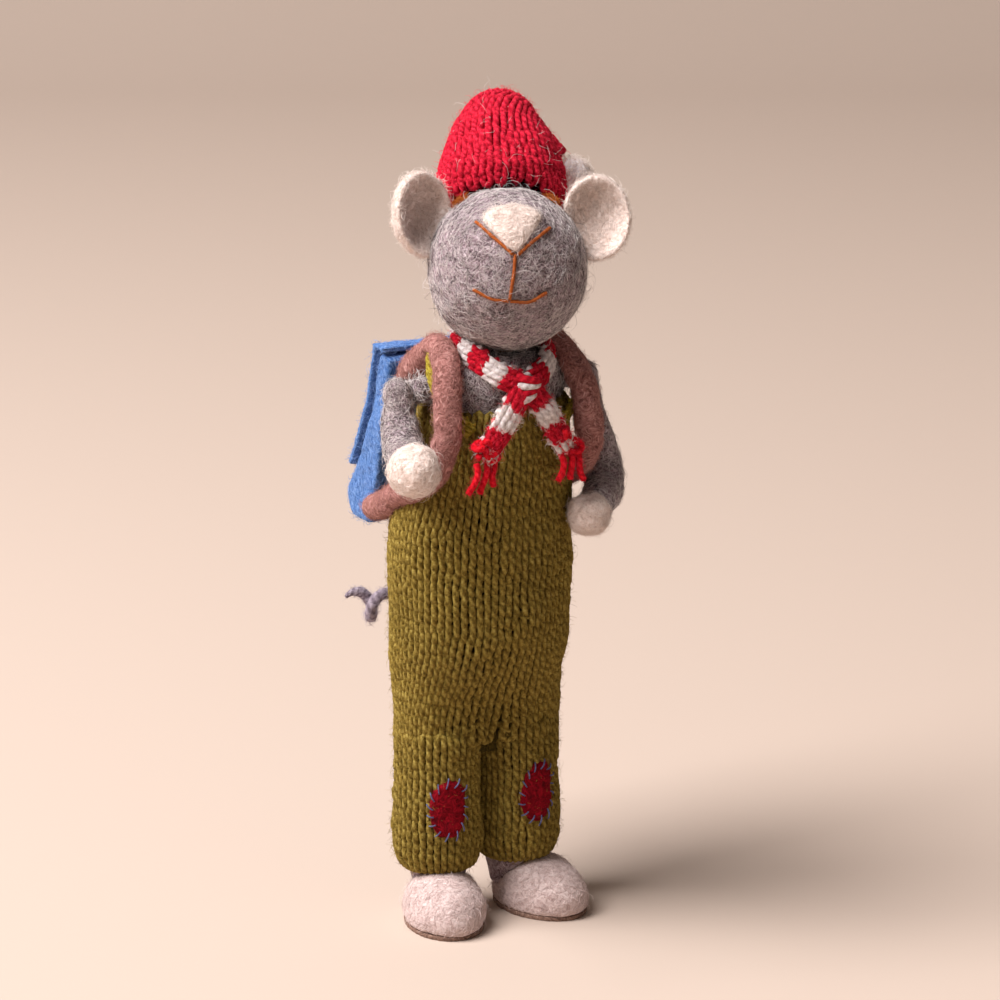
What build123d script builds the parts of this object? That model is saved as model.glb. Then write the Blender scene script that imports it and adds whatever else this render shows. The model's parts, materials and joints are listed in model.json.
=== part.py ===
"""Felt and knitwear mouse doll with a backpack, as separate pieces.

Millimetres, +Z up.  The doll stands on Z = 0 and faces -Y, so its right side is -X.
Measures are first written from the doll's own standing point between its ankles.
ORIGIN then moves that point so that the frame's origin is under the middle of the doll.
"""
from build123d import *
from math import cos, radians, sin
import os

os.makedirs("parts", exist_ok=True)

# ---- driving dimensions ------------------------------------------------------------
ORIGIN = Vector(-0.6, -12.4, 0)  # standing point, seen from the frame's origin

KNIT = 2.6                       # thickness of the knitted trousers
CLEARANCE = 0.05                 # radial play of a pin in its felt bore

RIGHT = -1
LEFT = 1
SIDE_NAMES = {RIGHT: "right", LEFT: "left"}

# trunk outline: height, centre x, centre y, half width, half depth
DUNGAREE_TRUNK = [
    (60, -1.5, 2.5, 25.5, 15.5),
    (72, -1.5, 2.0, 29.0, 21.0),
    (88, -1.2, 1.0, 30.8, 25.2),
    (110, -1.0, 0.5, 31.0, 27.0),
    (135, -0.5, 0.0, 31.0, 27.0),
    (150, 0.0, -1.5, 28.5, 25.0),
    (165, 1.0, -3.5, 25.5, 22.0),
    (176, 1.5, -5.0, 24.6, 20.5),
]
SHOULDERS = [
    (186, 2.0, -7.0, 22.6, 17.4),
    (192, 2.5, -8.5, 18.8, 15.0),
    (195.8, 3.0, -10.0, 14.0, 12.8),
]
# trouser leg outline: height, half width
DUNGAREE_LEG = [(19.0, 12.4), (23.0, 14.1), (45.0, 14.4), (62.0, 14.8), (72.0, 15.0)]
LEG_CENTRES = {RIGHT: (-15.6, 3.0), LEFT: (12.8, 3.6)}
LEG_RADIUS = 11.4
LEG_TOP = 62.0                   # the legs meet the trunk here
ANKLE_Z = 7.0

SHOE_CENTRES = {RIGHT: (-18.2, -7.6), LEFT: (18.2, -5.6)}
SHOE_TOE_OUT = {RIGHT: 12.0, LEFT: 15.0}
SHOE_WIDTH = 26.5
SHOE_LENGTH = 38.0
SHOE_HEIGHT = 17.5
SOLE_THICKNESS = 1.6

PATCH_CENTRES = {RIGHT: (-17.6, 40.5), LEFT: (14.6, 42.0)}
PATCH_WIDTH = 14.0
PATCH_HEIGHT = 21.5
PATCH_THICKNESS = 1.4

HEAD_CENTRE = (2.0, -14.0, 223.4)
HEAD_YAW = -20.0
NOSE_ELEVATION = 37.0
HEAD_LENGTH = 56.8               # along the nose axis
HEAD_WIDTH = 51.4
NECK_AXIS = (3.0, -10.0)
NECK_PEG_RADIUS = 3.0
NECK_PEG_BOTTOM = 189.0
NECK_PEG_TOP = 212.0
NOSE_PATCH_THICKNESS = 1.8
# corners of the nose patch, across the face and up it, seen along the nose
NOSE_PATCH_CORNERS = [(-9.6, 8.0), (9.6, 8.0), (1.6, -6.6), (-1.0, -6.6)]
THREAD = 1.0
# mouth stitches in the same view
MOUTH_LINES = [
    ((-10.6, 2.6), (-1.2, -7.4)),
    ((11.4, 1.0), (1.0, -7.4)),
    ((0.0, -8.2), (-1.8, -18.6)),
    ((-2.2, -19.6), (-12.6, -15.6)),
    ((-1.2, -19.6), (9.8, -17.2)),
]
EYE_RADIUS = 2.3
EYE_THICKNESS = 0.9
EYE_OFFSETS = (13.6, 17.6, 10.0)  # to the side, over the top of the face, along the nose

HAT_WALL = 2.4
HAT_BRIM = (0.0, 18.0, 10.9)     # middle of the brim, in the head's frame
HAT_BRIM_TILT = 55.0             # the brim's plane, back from level
HAT_LEAN = 25.0                  # the bell's axis, back from upright
HAT_RADIUS = 20.4
HAT_HEIGHT = 45.5                # from the middle of the brim to the crown
HAT_TIP = [(0.0, 34.0, 38.0), (3.5, 42.5, 39.0), (12.0, 46.5, 33.5), (21.2, 43.5, 26.0)]
HAT_TIP_RADII = [8.4, 7.6, 5.6, 3.4]
POMPOM_CENTRE = (26.0, 41.0, 22.8)
POMPOM_RADIUS = 5.4

EAR_RADIUS = 13.8                # half the ear's height
EAR_NARROWING = 0.8              # its width against its height
EAR_DEPTH = 6.4
EAR_THICKNESS = 3.0
EAR_CENTRES = {RIGHT: (-29.8, 4.8, 17.4), LEFT: (29.6, 4.6, 15.4)}
EAR_TURN = {RIGHT: 34.0, LEFT: 8.0}

SHOULDER_AXIS = (-6.0, 184.0)    # y and z of the line that both arms swing about
SHOULDER_WIRE_RADIUS = 1.0
BOSS_RADIUS = 4.0
BOSS_END = {RIGHT: -28.8, LEFT: 29.2}
ARM_POINTS = {
    RIGHT: [(-33.6, -6.0, 184.0), (-34.2, -8.6, 175.0), (-35.4, -14.6, 167.4), (-37.4, -22.6, 164.6)],
    LEFT: [(34.0, -6.0, 184.0), (35.6, -4.6, 172.0), (38.8, -3.6, 162.0), (41.4, -4.6, 152.0),
           (38.6, -12.0, 145.4)],
}
ARM_RADII = {RIGHT: [4.4, 5.6, 6.8, 6.2], LEFT: [4.4, 5.0, 6.0, 6.8, 6.4]}
HAND_CENTRES = {RIGHT: (-38.6, -30.6, 164.2), LEFT: (26.6, -24.6, 141.0)}
HAND_RADII = {RIGHT: 8.4, LEFT: 7.0}
WRIST_OFFSET = (0.8, -0.6, 0.5)  # the forearm ends a little beside the hand's middle
WRIST_TAPER = 0.8

PACK_RIGHT_X = -28.0
PACK_LEFT_X = 26.0
PACK_WALL = 2.6
# backpack side outline, y and z, from the top front edge round by the back
PACK_OUTLINE = [(14.0, 190.5), (22.0, 191.5), (28.6, 171.0), (40.5, 151.0), (51.0, 137.0), (47.0, 128.8),
                (31.0, 130.4), (25.0, 150.0), (18.5, 168.0)]
PACK_CORNERS = [1.5, 3.0, 12.0, 12.0, 4.5, 4.0, 3.0, 12.0, 12.0]
# the pack is open above and behind this outline, whose front edge keeps off the front wall
PACK_MOUTH = [(28.2, 151.0), (21.8, 168.6), (19.8, 178.0), (19.8, 196.0), (64.8, 196.0), (64.8, 151.0)]
FLAP_THICKNESS = 2.4
FLAP_OVERHANG = 1.0
# inner line of the flap, from its hinge over the pack's top and down its back
FLAP_LINE = [(16.6, 191.8), (22.4, 192.5), (29.5, 171.4), (41.4, 151.4), (44.6, 147.2)]
BUTTON_RADIUS = 5.0
BUTTON_THICKNESS = 2.2
BUTTON_RISE = 0.1
BUTTON_PLACE = 0.72               # how far down the flap's lower run

PACK_STRAP_RADIUS = 4.6
PACK_STRAP_ROUTE = {
    RIGHT: [(-22.5, 20.6, 175.6), (-19.8, 12.0, 187.2), (-17.4, -0.6, 197.6), (-19.4, -13.0, 196.0),
            (-22.6, -21.0, 186.0), (-24.0, -24.6, 173.0), (-26.4, -22.4, 161.0), (-28.6, -11.0, 153.2),
            (-29.4, 2.0, 147.6), (-29.0, 14.0, 141.0), (-27.4, 27.4, 137.0)],
    LEFT: [(22.0, 20.6, 175.6), (20.0, 12.0, 187.2), (19.4, -0.6, 197.4), (22.0, -13.4, 195.8),
           (25.0, -22.0, 187.0), (26.4, -25.6, 174.0), (27.6, -22.0, 161.6), (28.8, -11.0, 154.6),
           (29.8, 2.0, 148.4), (29.8, 14.0, 141.6), (27.2, 27.4, 137.0)],
}
BIB_STRAP_WIDTH = 4.6
BIB_STRAP_THICKNESS = 2.2
BIB_STRAP_ROUTE = {
    RIGHT: [(-15.0, -22.0, 172.0), (-21.4, -17.2, 180.0), (-23.0, -12.0, 190.0), (-20.4, -4.0, 196.4),
            (-17.0, 6.0, 190.0), (-15.0, 12.0, 180.0), (-14.6, 14.6, 171.0)],
    LEFT: [(18.0, -22.0, 172.0), (25.4, -17.2, 180.0), (27.2, -12.0, 190.0), (25.0, -4.0, 196.4),
           (21.0, 6.0, 190.0), (18.0, 12.0, 180.0), (17.4, 14.6, 171.0)],
}

SCARF_WIDTH = 6.6
SCARF_THICKNESS = 3.0
SCARF_LOOP_CENTRE = (2.2, -9.6, 193.6)
SCARF_LOOP_SLOPE = 0.28
KNOT_CENTRE = (0.6, -30.0, 189.0)
KNOT_RADIUS = 5.4
SCARF_ENDS = {RIGHT: (-12.6, -30.6, 157.6), LEFT: (21.0, -29.4, 163.0)}
FRINGE_RADIUS = 1.2
FRINGE_LENGTH = 8.0
FRINGE_COUNT = 3

TAIL_POINTS = [(-1.0, 29.4, 97.0), (-8.4, 41.0, 96.2), (-14.0, 49.0, 95.2), (-22.0, 61.0, 94.0)]
TAIL_RADII = [2.1, 6.8, 7.4, 5.6]

LEG_WIRE_RADIUS = 1.1
LEG_WIRE_TOP = 100.0


def place(x, y, z=0.0):
    """A point of the doll, in the frame's own coordinates."""
    return Vector(x, y, z) + ORIGIN


def finish(builder, name):
    """Label a finished piece and write its STEP file."""
    builder.part.label = name
    export_step(builder.part, f"parts/{name}.step")


def ellipse_loft(sections):
    """Soft trunk through level ellipses."""
    with BuildPart() as body:
        for height, cx, cy, half_width, half_depth in sections:
            with BuildSketch(Plane(origin=place(cx, cy, height))):
                Ellipse(half_width, half_depth)
        loft()
    return body


def limb(points, radii, round_start=True, round_end=True):
    """Round limb: a cone along each run and a ball at each point."""
    with BuildPart() as body:
        for (a, radius_a), (b, radius_b) in zip(zip(points, radii), zip(points[1:], radii[1:])):
            run = Vector(*b) - Vector(*a)
            with BuildSketch(Plane(origin=a, z_dir=run)):
                Circle(radius_a)
            with BuildSketch(Plane(origin=b, z_dir=run)):
                Circle(radius_b)
            loft()
        first = 0 if round_start else 1
        last = len(points) if round_end else len(points) - 1
        for point, radius in list(zip(points, radii))[first:last]:
            with Locations(point):
                Sphere(radius)
    return body


def arc_radii(points, share=0.45):
    """Corner radii of a filleted route, each as large as its two runs allow."""
    radii = []
    for a, b, c in zip(points, points[1:], points[2:]):
        run_in = Vector(*b) - Vector(*a)
        run_out = Vector(*c) - Vector(*b)
        half_turn = radians(run_in.get_angle(run_out)) / 2
        radii.append(share * min(run_in.length, run_out.length) * cos(half_turn) / sin(half_turn))
    return radii


def rope(points, radius):
    """Felt rope of even thickness along a route of straight runs and tangent arcs."""
    with BuildPart() as body:
        with BuildLine() as route:
            FilletPolyline(*[place(*p) for p in points], radius=arc_radii(points))
        with BuildSketch(Plane(origin=route.line @ 0, z_dir=route.line % 0)):
            Circle(radius)
        sweep()
    return body


def band(points, width, thickness):
    """Flat knitted band along a route, its width lying across the doll's side."""
    with BuildPart() as body:
        with BuildLine() as route:
            FilletPolyline(*[place(*p) for p in points], radius=arc_radii(points))
        with BuildSketch(Plane(origin=route.line @ 0, x_dir=(1, 0, 0), z_dir=route.line % 0)):
            RectangleRounded(width, thickness, 0.9)
        sweep()
    return body


# ---- trunk, legs and their wires -----------------------------------------------------
trunk_outer = ellipse_loft(DUNGAREE_TRUNK)
trunk_sections = [(z, x, y, w - KNIT, d - KNIT) for z, x, y, w, d in DUNGAREE_TRUNK]
trunk_sections[0] = (LEG_TOP, *trunk_sections[0][1:])
torso_solid = ellipse_loft(trunk_sections + SHOULDERS)

shoulder_line = Plane(
    origin=place(BOSS_END[RIGHT], *SHOULDER_AXIS), x_dir=(0, 1, 0), z_dir=(1, 0, 0)
)
wire_start = ARM_POINTS[RIGHT][0][0] - 2.0
wire_length = ARM_POINTS[LEFT][0][0] + 2.0 - wire_start
wire_line = Plane(origin=place(wire_start, *SHOULDER_AXIS), x_dir=(0, 1, 0), z_dir=(1, 0, 0))
with BuildPart() as shoulder_wire:
    with BuildSketch(wire_line):
        Circle(SHOULDER_WIRE_RADIUS)
    extrude(amount=wire_length)
finish(shoulder_wire, "shoulder_wire")

with BuildPart() as neck_peg:
    with BuildSketch(Plane(origin=place(*NECK_AXIS, NECK_PEG_BOTTOM))):
        Circle(NECK_PEG_RADIUS)
    extrude(amount=NECK_PEG_TOP - NECK_PEG_BOTTOM)
finish(neck_peg, "neck_peg")

leg_wires = {}
for side, (leg_x, leg_y) in LEG_CENTRES.items():
    with BuildPart() as leg_wire:
        with BuildSketch(Plane(origin=place(leg_x, leg_y, ANKLE_Z))):
            Circle(LEG_WIRE_RADIUS)
        extrude(amount=LEG_WIRE_TOP - ANKLE_Z)
    leg_wires[side] = leg_wire
    finish(leg_wire, f"leg_wire_{SIDE_NAMES[side]}")

with BuildPart() as torso:
    add(torso_solid.part)
    with BuildSketch(shoulder_line):
        Circle(BOSS_RADIUS)
    extrude(amount=BOSS_END[LEFT] - BOSS_END[RIGHT])
    with BuildSketch(wire_line):
        Circle(SHOULDER_WIRE_RADIUS + CLEARANCE)
    extrude(amount=wire_length, mode=Mode.SUBTRACT)
    add(neck_peg.part, mode=Mode.SUBTRACT)
    for leg_wire in leg_wires.values():
        add(leg_wire.part, mode=Mode.SUBTRACT)
finish(torso, "torso")

legs = {}
for side, (leg_x, leg_y) in LEG_CENTRES.items():
    with BuildPart() as leg:
        with BuildSketch(Plane(origin=place(leg_x, leg_y, ANKLE_Z))):
            Circle(LEG_RADIUS - 3.4)
        with BuildSketch(Plane(origin=place(leg_x, leg_y, ANKLE_Z + 16.0))):
            Circle(LEG_RADIUS)
        with BuildSketch(Plane(origin=place(leg_x, leg_y, LEG_TOP))):
            Circle(LEG_RADIUS)
        loft(ruled=True)
        add(leg_wires[side].part, mode=Mode.SUBTRACT)
    legs[side] = leg
    finish(leg, f"leg_{SIDE_NAMES[side]}")

# ---- shoes ---------------------------------------------------------------------------
for side, (shoe_x, shoe_y) in SHOE_CENTRES.items():
    turn = radians(side * SHOE_TOE_OUT[side])
    heading = Vector(cos(turn), sin(turn), 0)
    ground = Plane(origin=place(shoe_x, shoe_y), x_dir=heading, z_dir=(0, 0, 1))
    with BuildPart() as sole:
        with BuildSketch(ground):
            Ellipse(SHOE_WIDTH / 2, SHOE_LENGTH / 2)
        extrude(amount=SOLE_THICKNESS)
    with BuildPart() as shoe:
        for share, height in ((1.0, 0.0), (1.02, 0.3), (0.9, 0.62), (0.66, 0.86), (0.4, 1.0)):
            level = SOLE_THICKNESS + height * (SHOE_HEIGHT - SOLE_THICKNESS)
            heel_shift = (1 - share) * 0.16 * SHOE_LENGTH
            with BuildSketch(ground.offset(level)):
                with Locations((0, heel_shift)):
                    Ellipse(share * SHOE_WIDTH / 2, share * SHOE_LENGTH / 2)
        loft()
        add(legs[side].part, mode=Mode.SUBTRACT)
        add(leg_wires[side].part, mode=Mode.SUBTRACT)
    finish(sole, f"sole_{SIDE_NAMES[side]}")
    finish(shoe, f"shoe_{SIDE_NAMES[side]}")

# ---- dungarees -----------------------------------------------------------------------
leg_outers = {}
for side, (leg_x, leg_y) in LEG_CENTRES.items():
    sections = [(z, leg_x, leg_y, radius, radius) for z, radius in DUNGAREE_LEG]
    leg_outers[side] = ellipse_loft(sections)

with BuildPart() as dungarees:
    add(trunk_outer.part)
    for leg_outer in leg_outers.values():
        add(leg_outer.part)
    add(torso_solid.part, mode=Mode.SUBTRACT)
    for side, leg in legs.items():
        add(leg.part, mode=Mode.SUBTRACT)
        add(leg_wires[side].part, mode=Mode.SUBTRACT)
finish(dungarees, "dungarees")

for side, (patch_x, patch_z) in PATCH_CENTRES.items():
    leg_x, leg_y = LEG_CENTRES[side]
    sections = [(z, leg_x, leg_y, r + PATCH_THICKNESS, r + PATCH_THICKNESS) for z, r in DUNGAREE_LEG]
    patch_skin = ellipse_loft(sections)
    front = Plane(origin=place(patch_x, leg_y - 30.0, patch_z), x_dir=(1, 0, 0), z_dir=(0, 1, 0))
    with BuildPart() as knee_patch:
        with BuildSketch(front):
            Ellipse(PATCH_WIDTH / 2, PATCH_HEIGHT / 2)
        extrude(amount=28.0)
        add(patch_skin.part, mode=Mode.INTERSECT)
        for leg_outer in leg_outers.values():
            add(leg_outer.part, mode=Mode.SUBTRACT)
    finish(knee_patch, f"knee_patch_{SIDE_NAMES[side]}")

# ---- backpack ------------------------------------------------------------------------
side_view = Plane(origin=place(PACK_RIGHT_X, 0, 0), x_dir=(0, 1, 0), z_dir=(1, 0, 0))
pack_width = PACK_LEFT_X - PACK_RIGHT_X
with BuildPart() as pack_solid:
    with BuildSketch(side_view):
        with BuildLine():
            FilletPolyline(*PACK_OUTLINE, radius=PACK_CORNERS, close=True)
        make_face()
    extrude(amount=pack_width)
with BuildPart() as pack_hollow:
    with BuildSketch(side_view.offset(PACK_WALL)):
        with BuildLine():
            FilletPolyline(*PACK_OUTLINE, radius=PACK_CORNERS, close=True)
        make_face()
        offset(amount=-PACK_WALL)
        Polygon(*PACK_MOUTH, align=None)
    extrude(amount=pack_width - 2 * PACK_WALL)
with BuildPart() as backpack:
    add(pack_solid.part)
    add(pack_hollow.part, mode=Mode.SUBTRACT)
finish(backpack, "backpack")

flap_outer = []
for before, point, after in zip(FLAP_LINE[:1] + FLAP_LINE, FLAP_LINE, FLAP_LINE[1:] + FLAP_LINE[-1:]):
    run = (Vector(*after) - Vector(*before)).normalized()
    flap_outer.append(Vector(*point) + Vector(-run.Y, run.X) * FLAP_THICKNESS)
with BuildPart() as pack_flap:
    with BuildSketch(side_view.offset(-FLAP_OVERHANG)):
        with BuildLine():
            Polyline(*FLAP_LINE, *reversed(flap_outer), close=True)
        make_face()
    extrude(amount=pack_width + 2 * FLAP_OVERHANG)
finish(pack_flap, "pack_flap")

button_run = flap_outer[-2] - flap_outer[-3]
back_normal = Vector(-button_run.Y, button_run.X).normalized()
button_at = flap_outer[-3] + button_run * BUTTON_PLACE + back_normal * BUTTON_RISE
button_plane = Plane(
    origin=place((PACK_LEFT_X + PACK_RIGHT_X) / 2, button_at.X, button_at.Y),
    x_dir=(1, 0, 0),
    z_dir=(0, back_normal.X, back_normal.Y),
)
with BuildPart() as pack_button:
    with BuildSketch(button_plane):
        Circle(BUTTON_RADIUS)
    extrude(amount=BUTTON_THICKNESS)
    fillet(pack_button.faces().sort_by(Axis.Y)[-1].edges(), 0.8)
finish(pack_button, "pack_button")

# ---- straps --------------------------------------------------------------------------
pack_straps = {}
bib_straps = {}
for side, name in SIDE_NAMES.items():
    bib_band = band(BIB_STRAP_ROUTE[side], BIB_STRAP_WIDTH, BIB_STRAP_THICKNESS)
    with BuildPart() as bib_strap:
        add(bib_band.part)
        add(torso.part, mode=Mode.SUBTRACT)
        add(trunk_outer.part, mode=Mode.SUBTRACT)
    bib_straps[side] = bib_strap
    strap_rope = rope(PACK_STRAP_ROUTE[side], PACK_STRAP_RADIUS)
    with BuildPart() as pack_strap:
        add(strap_rope.part)
        add(torso_solid.part, mode=Mode.SUBTRACT)
        add(torso.part, mode=Mode.SUBTRACT)
        add(trunk_outer.part, mode=Mode.SUBTRACT)
        add(pack_solid.part, mode=Mode.SUBTRACT)
        add(bib_band.part, mode=Mode.SUBTRACT)
        # the notch for the bib strap may cut a crumb off the rope, which is dropped
        for crumb in pack_strap.solids().sort_by(SortBy.VOLUME)[:-1]:
            add(crumb, mode=Mode.SUBTRACT)
    pack_straps[side] = pack_strap
    finish(bib_strap, f"bib_strap_{name}")
    finish(pack_strap, f"pack_strap_{name}")

# ---- head ----------------------------------------------------------------------------
yaw = radians(HEAD_YAW)
face = Plane(origin=place(*HEAD_CENTRE), x_dir=(cos(yaw), sin(yaw), 0), z_dir=(0, 0, 1))


def on_head(x, y, z):
    """A point of the head's own frame, in the frame's coordinates."""
    return face.from_local_coords(Vector(x, y, z))


def head_dir(x, y, z):
    """A direction of the head's own frame, in the frame's coordinates."""
    return on_head(x, y, z) - on_head(0, 0, 0)


rise = radians(NOSE_ELEVATION)
nose_axis = head_dir(0, -cos(rise), sin(rise))
head_top = head_dir(0, sin(rise), cos(rise))
head_side = head_dir(1, 0, 0)
snout = Plane(origin=face.origin, x_dir=head_side, z_dir=nose_axis)


def head_ball(extra=0.0):
    """The head's own shape, or a skin that stands proud of it."""
    radius = HEAD_WIDTH / 2 + extra
    stretch = (HEAD_LENGTH / 2 + extra) / radius
    return snout.location * scale(Sphere(radius), by=(1, 1, stretch))


head_solid = head_ball()
bore_radius = NECK_PEG_RADIUS + CLEARANCE
with BuildPart() as head:
    add(head_solid)
    with BuildSketch(Plane(origin=place(*NECK_AXIS, NECK_PEG_BOTTOM))):
        Circle(bore_radius)
    extrude(amount=NECK_PEG_TOP + 0.3 - NECK_PEG_BOTTOM, mode=Mode.SUBTRACT)
finish(head, "head")

nose_skin = head_ball(NOSE_PATCH_THICKNESS)
thread_skin = head_ball(THREAD)
eye_skin = head_ball(EYE_THICKNESS)
with BuildPart() as nose_patch:
    with BuildSketch(snout):
        with BuildLine():
            FilletPolyline(*NOSE_PATCH_CORNERS, radius=1.1, close=True)
        make_face()
    extrude(amount=HEAD_LENGTH)
    add(nose_skin, mode=Mode.INTERSECT)
    add(head_solid, mode=Mode.SUBTRACT)
finish(nose_patch, "nose_patch")

with BuildPart() as mouth_stitching:
    with BuildSketch(snout):
        for start, stop in MOUTH_LINES:
            run = Vector(*stop) - Vector(*start)
            middle = (Vector(*stop) + Vector(*start)) / 2
            with Locations(Location((middle.X, middle.Y), Vector(1, 0).get_signed_angle(run))):
                SlotOverall(run.length, THREAD)
    extrude(amount=HEAD_LENGTH)
    add(thread_skin, mode=Mode.INTERSECT)
    add(head_solid, mode=Mode.SUBTRACT)
    add(nose_patch.part, mode=Mode.SUBTRACT)
finish(mouth_stitching, "mouth_stitching")

eye_side, eye_back, eye_forward = EYE_OFFSETS
for side, name in SIDE_NAMES.items():
    eye_line = (head_side * side * eye_side + head_top * eye_back + nose_axis * eye_forward).normalized()
    with BuildPart() as eye:
        with BuildSketch(Plane(origin=face.origin, z_dir=eye_line)):
            Circle(EYE_RADIUS)
        extrude(amount=HEAD_LENGTH)
        add(eye_skin, mode=Mode.INTERSECT)
        add(head_solid, mode=Mode.SUBTRACT)
    finish(eye, f"eye_{name}")

bowl_radius = (EAR_RADIUS ** 2 + EAR_DEPTH ** 2) / (2 * EAR_DEPTH)
with BuildPart() as bowl:
    with BuildSketch(Plane.XZ):
        with Locations((0, bowl_radius)):
            Circle(bowl_radius)
            Circle(bowl_radius - EAR_THICKNESS, mode=Mode.SUBTRACT)
        with Locations((EAR_RADIUS / 2, EAR_DEPTH / 2)):
            Rectangle(EAR_RADIUS, 2 * EAR_DEPTH, mode=Mode.INTERSECT)
    revolve(axis=Axis.Z)
ear_cup = scale(bowl.part, by=(EAR_NARROWING, 1, 1))
for side, centre in EAR_CENTRES.items():
    turn = radians(-side * EAR_TURN[side])
    facing = head_dir(sin(turn), -cos(turn), 0.18).normalized()
    back = on_head(*centre) - facing * EAR_DEPTH / 2
    across = facing.cross(head_dir(0, 0, 1)).normalized()
    ear_shell = Plane(origin=back, x_dir=across, z_dir=facing).location * ear_cup
    with BuildPart() as ear:
        add(ear_shell)
        add(head_solid, mode=Mode.SUBTRACT)
    finish(ear, f"ear_{SIDE_NAMES[side]}")

# ---- hat -----------------------------------------------------------------------------
lean = radians(HAT_LEAN)
brim_tilt = radians(HAT_BRIM_TILT)
hat_axis = head_dir(0, sin(lean), cos(lean))
brim_normal = head_dir(0, sin(brim_tilt), cos(brim_tilt))
brim_centre = on_head(*HAT_BRIM)


def bell(wall, below):
    """The hat's bell about its own axis, smaller by a wall all round, cut off at the brim."""
    side = HAT_RADIUS - wall
    crown = HAT_HEIGHT - wall
    with BuildPart() as body:
        with BuildSketch(Plane(origin=brim_centre, x_dir=head_side, z_dir=hat_axis.cross(head_side) * -1)):
            with BuildLine():
                Polyline((0, crown), (0, -36), (side, -36), (side, 10))
                Spline((side, 10), (0.95 * side, 0.53 * crown), (0.765 * side, 0.79 * crown),
                       (0.44 * side, 0.95 * crown), (0, crown), tangents=[(0, 1), (-1, 0)])
            make_face()
        revolve(axis=Axis(brim_centre, hat_axis))
        split(bisect_by=Plane(origin=brim_centre - brim_normal * below, z_dir=brim_normal), keep=Keep.TOP)
    return body


hat_outer = bell(0.0, 0.0)
hat_inner = bell(HAT_WALL, 1.0)
hat_tip = limb([on_head(*p) for p in HAT_TIP], HAT_TIP_RADII, True, False)
with BuildPart() as hat:
    add(hat_outer.part)
    add(hat_tip.part)
    add(hat_inner.part, mode=Mode.SUBTRACT)
finish(hat, "hat")

with BuildPart() as pompom:
    with Locations(on_head(*POMPOM_CENTRE)):
        Sphere(POMPOM_RADIUS)
finish(pompom, "pompom")

# ---- arms ----------------------------------------------------------------------------
for side, name in SIDE_NAMES.items():
    points = ARM_POINTS[side]
    hand_centre = HAND_CENTRES[side]
    with BuildPart() as hand:
        with Locations(place(*hand_centre)):
            Sphere(HAND_RADII[side])
    limb_points = [place(*p) for p in points] + [place(*hand_centre) + Vector(*WRIST_OFFSET)]
    limb_solid = limb(limb_points, ARM_RADII[side] + [ARM_RADII[side][-1] - WRIST_TAPER], True, False)
    with BuildPart() as arm:
        add(limb_solid.part)
        add(hand.part, mode=Mode.SUBTRACT)
        with BuildSketch(wire_line):
            Circle(SHOULDER_WIRE_RADIUS + CLEARANCE)
        extrude(amount=wire_length, mode=Mode.SUBTRACT)
    finish(arm, f"arm_{name}")
    finish(hand, f"hand_{name}")

# ---- scarf ---------------------------------------------------------------------------
loop_plane = Plane(origin=place(*SCARF_LOOP_CENTRE), x_dir=(1, 0, 0), z_dir=(0, -SCARF_LOOP_SLOPE, 1))
with BuildPart() as knot_solid:
    with Locations(place(*KNOT_CENTRE)):
        Sphere(KNOT_RADIUS)
with BuildPart() as scarf_loop:
    with BuildSketch(loop_plane.offset(-SCARF_WIDTH / 2)):
        Ellipse(16.6, 19.4)
        Ellipse(13.7, 15.8, mode=Mode.SUBTRACT)
    extrude(amount=SCARF_WIDTH)
    add(torso_solid.part, mode=Mode.SUBTRACT)
    add(knot_solid.part, mode=Mode.SUBTRACT)
    for side in SIDE_NAMES:
        add(pack_straps[side].part, mode=Mode.SUBTRACT)
        add(bib_straps[side].part, mode=Mode.SUBTRACT)
finish(scarf_loop, "scarf_loop")

with BuildPart() as scarf_knot:
    add(knot_solid.part)
    add(torso_solid.part, mode=Mode.SUBTRACT)
finish(scarf_knot, "scarf_knot")

for side, end_point in SCARF_ENDS.items():
    start = place(*KNOT_CENTRE) + Vector(side * SCARF_WIDTH * 0.4, 0, 0)
    stop = place(*end_point)
    run = stop - start
    along = Plane(origin=start, x_dir=run.cross(Vector(0, -1, 0)), z_dir=run)
    with BuildPart() as scarf_end:
        with BuildSketch(along):
            RectangleRounded(SCARF_WIDTH, SCARF_THICKNESS, 1.2)
        extrude(amount=run.length)
        add(knot_solid.part, mode=Mode.SUBTRACT)
        add(trunk_outer.part, mode=Mode.SUBTRACT)
        add(torso_solid.part, mode=Mode.SUBTRACT)
    finish(scarf_end, f"scarf_end_{SIDE_NAMES[side]}")
    with BuildPart() as scarf_fringe:
        with BuildSketch(along.offset(run.length)):
            with GridLocations(SCARF_WIDTH / FRINGE_COUNT, 1, FRINGE_COUNT, 1):
                Circle(FRINGE_RADIUS * 0.85)
        extrude(amount=FRINGE_LENGTH)
    finish(scarf_fringe, f"scarf_fringe_{SIDE_NAMES[side]}")

# ---- tail ----------------------------------------------------------------------------
tail = limb([place(*p) for p in TAIL_POINTS], TAIL_RADII)
finish(tail, "tail")
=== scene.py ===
"""Looks of the felt and knitwear mouse doll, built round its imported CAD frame.

Shapes are written in millimetres from the doll's own standing point, as the CAD part is, and
make() moves them into the frame, in metres.
"""

import json
import math

import bpy
import numpy as np
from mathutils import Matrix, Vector, noise


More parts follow.
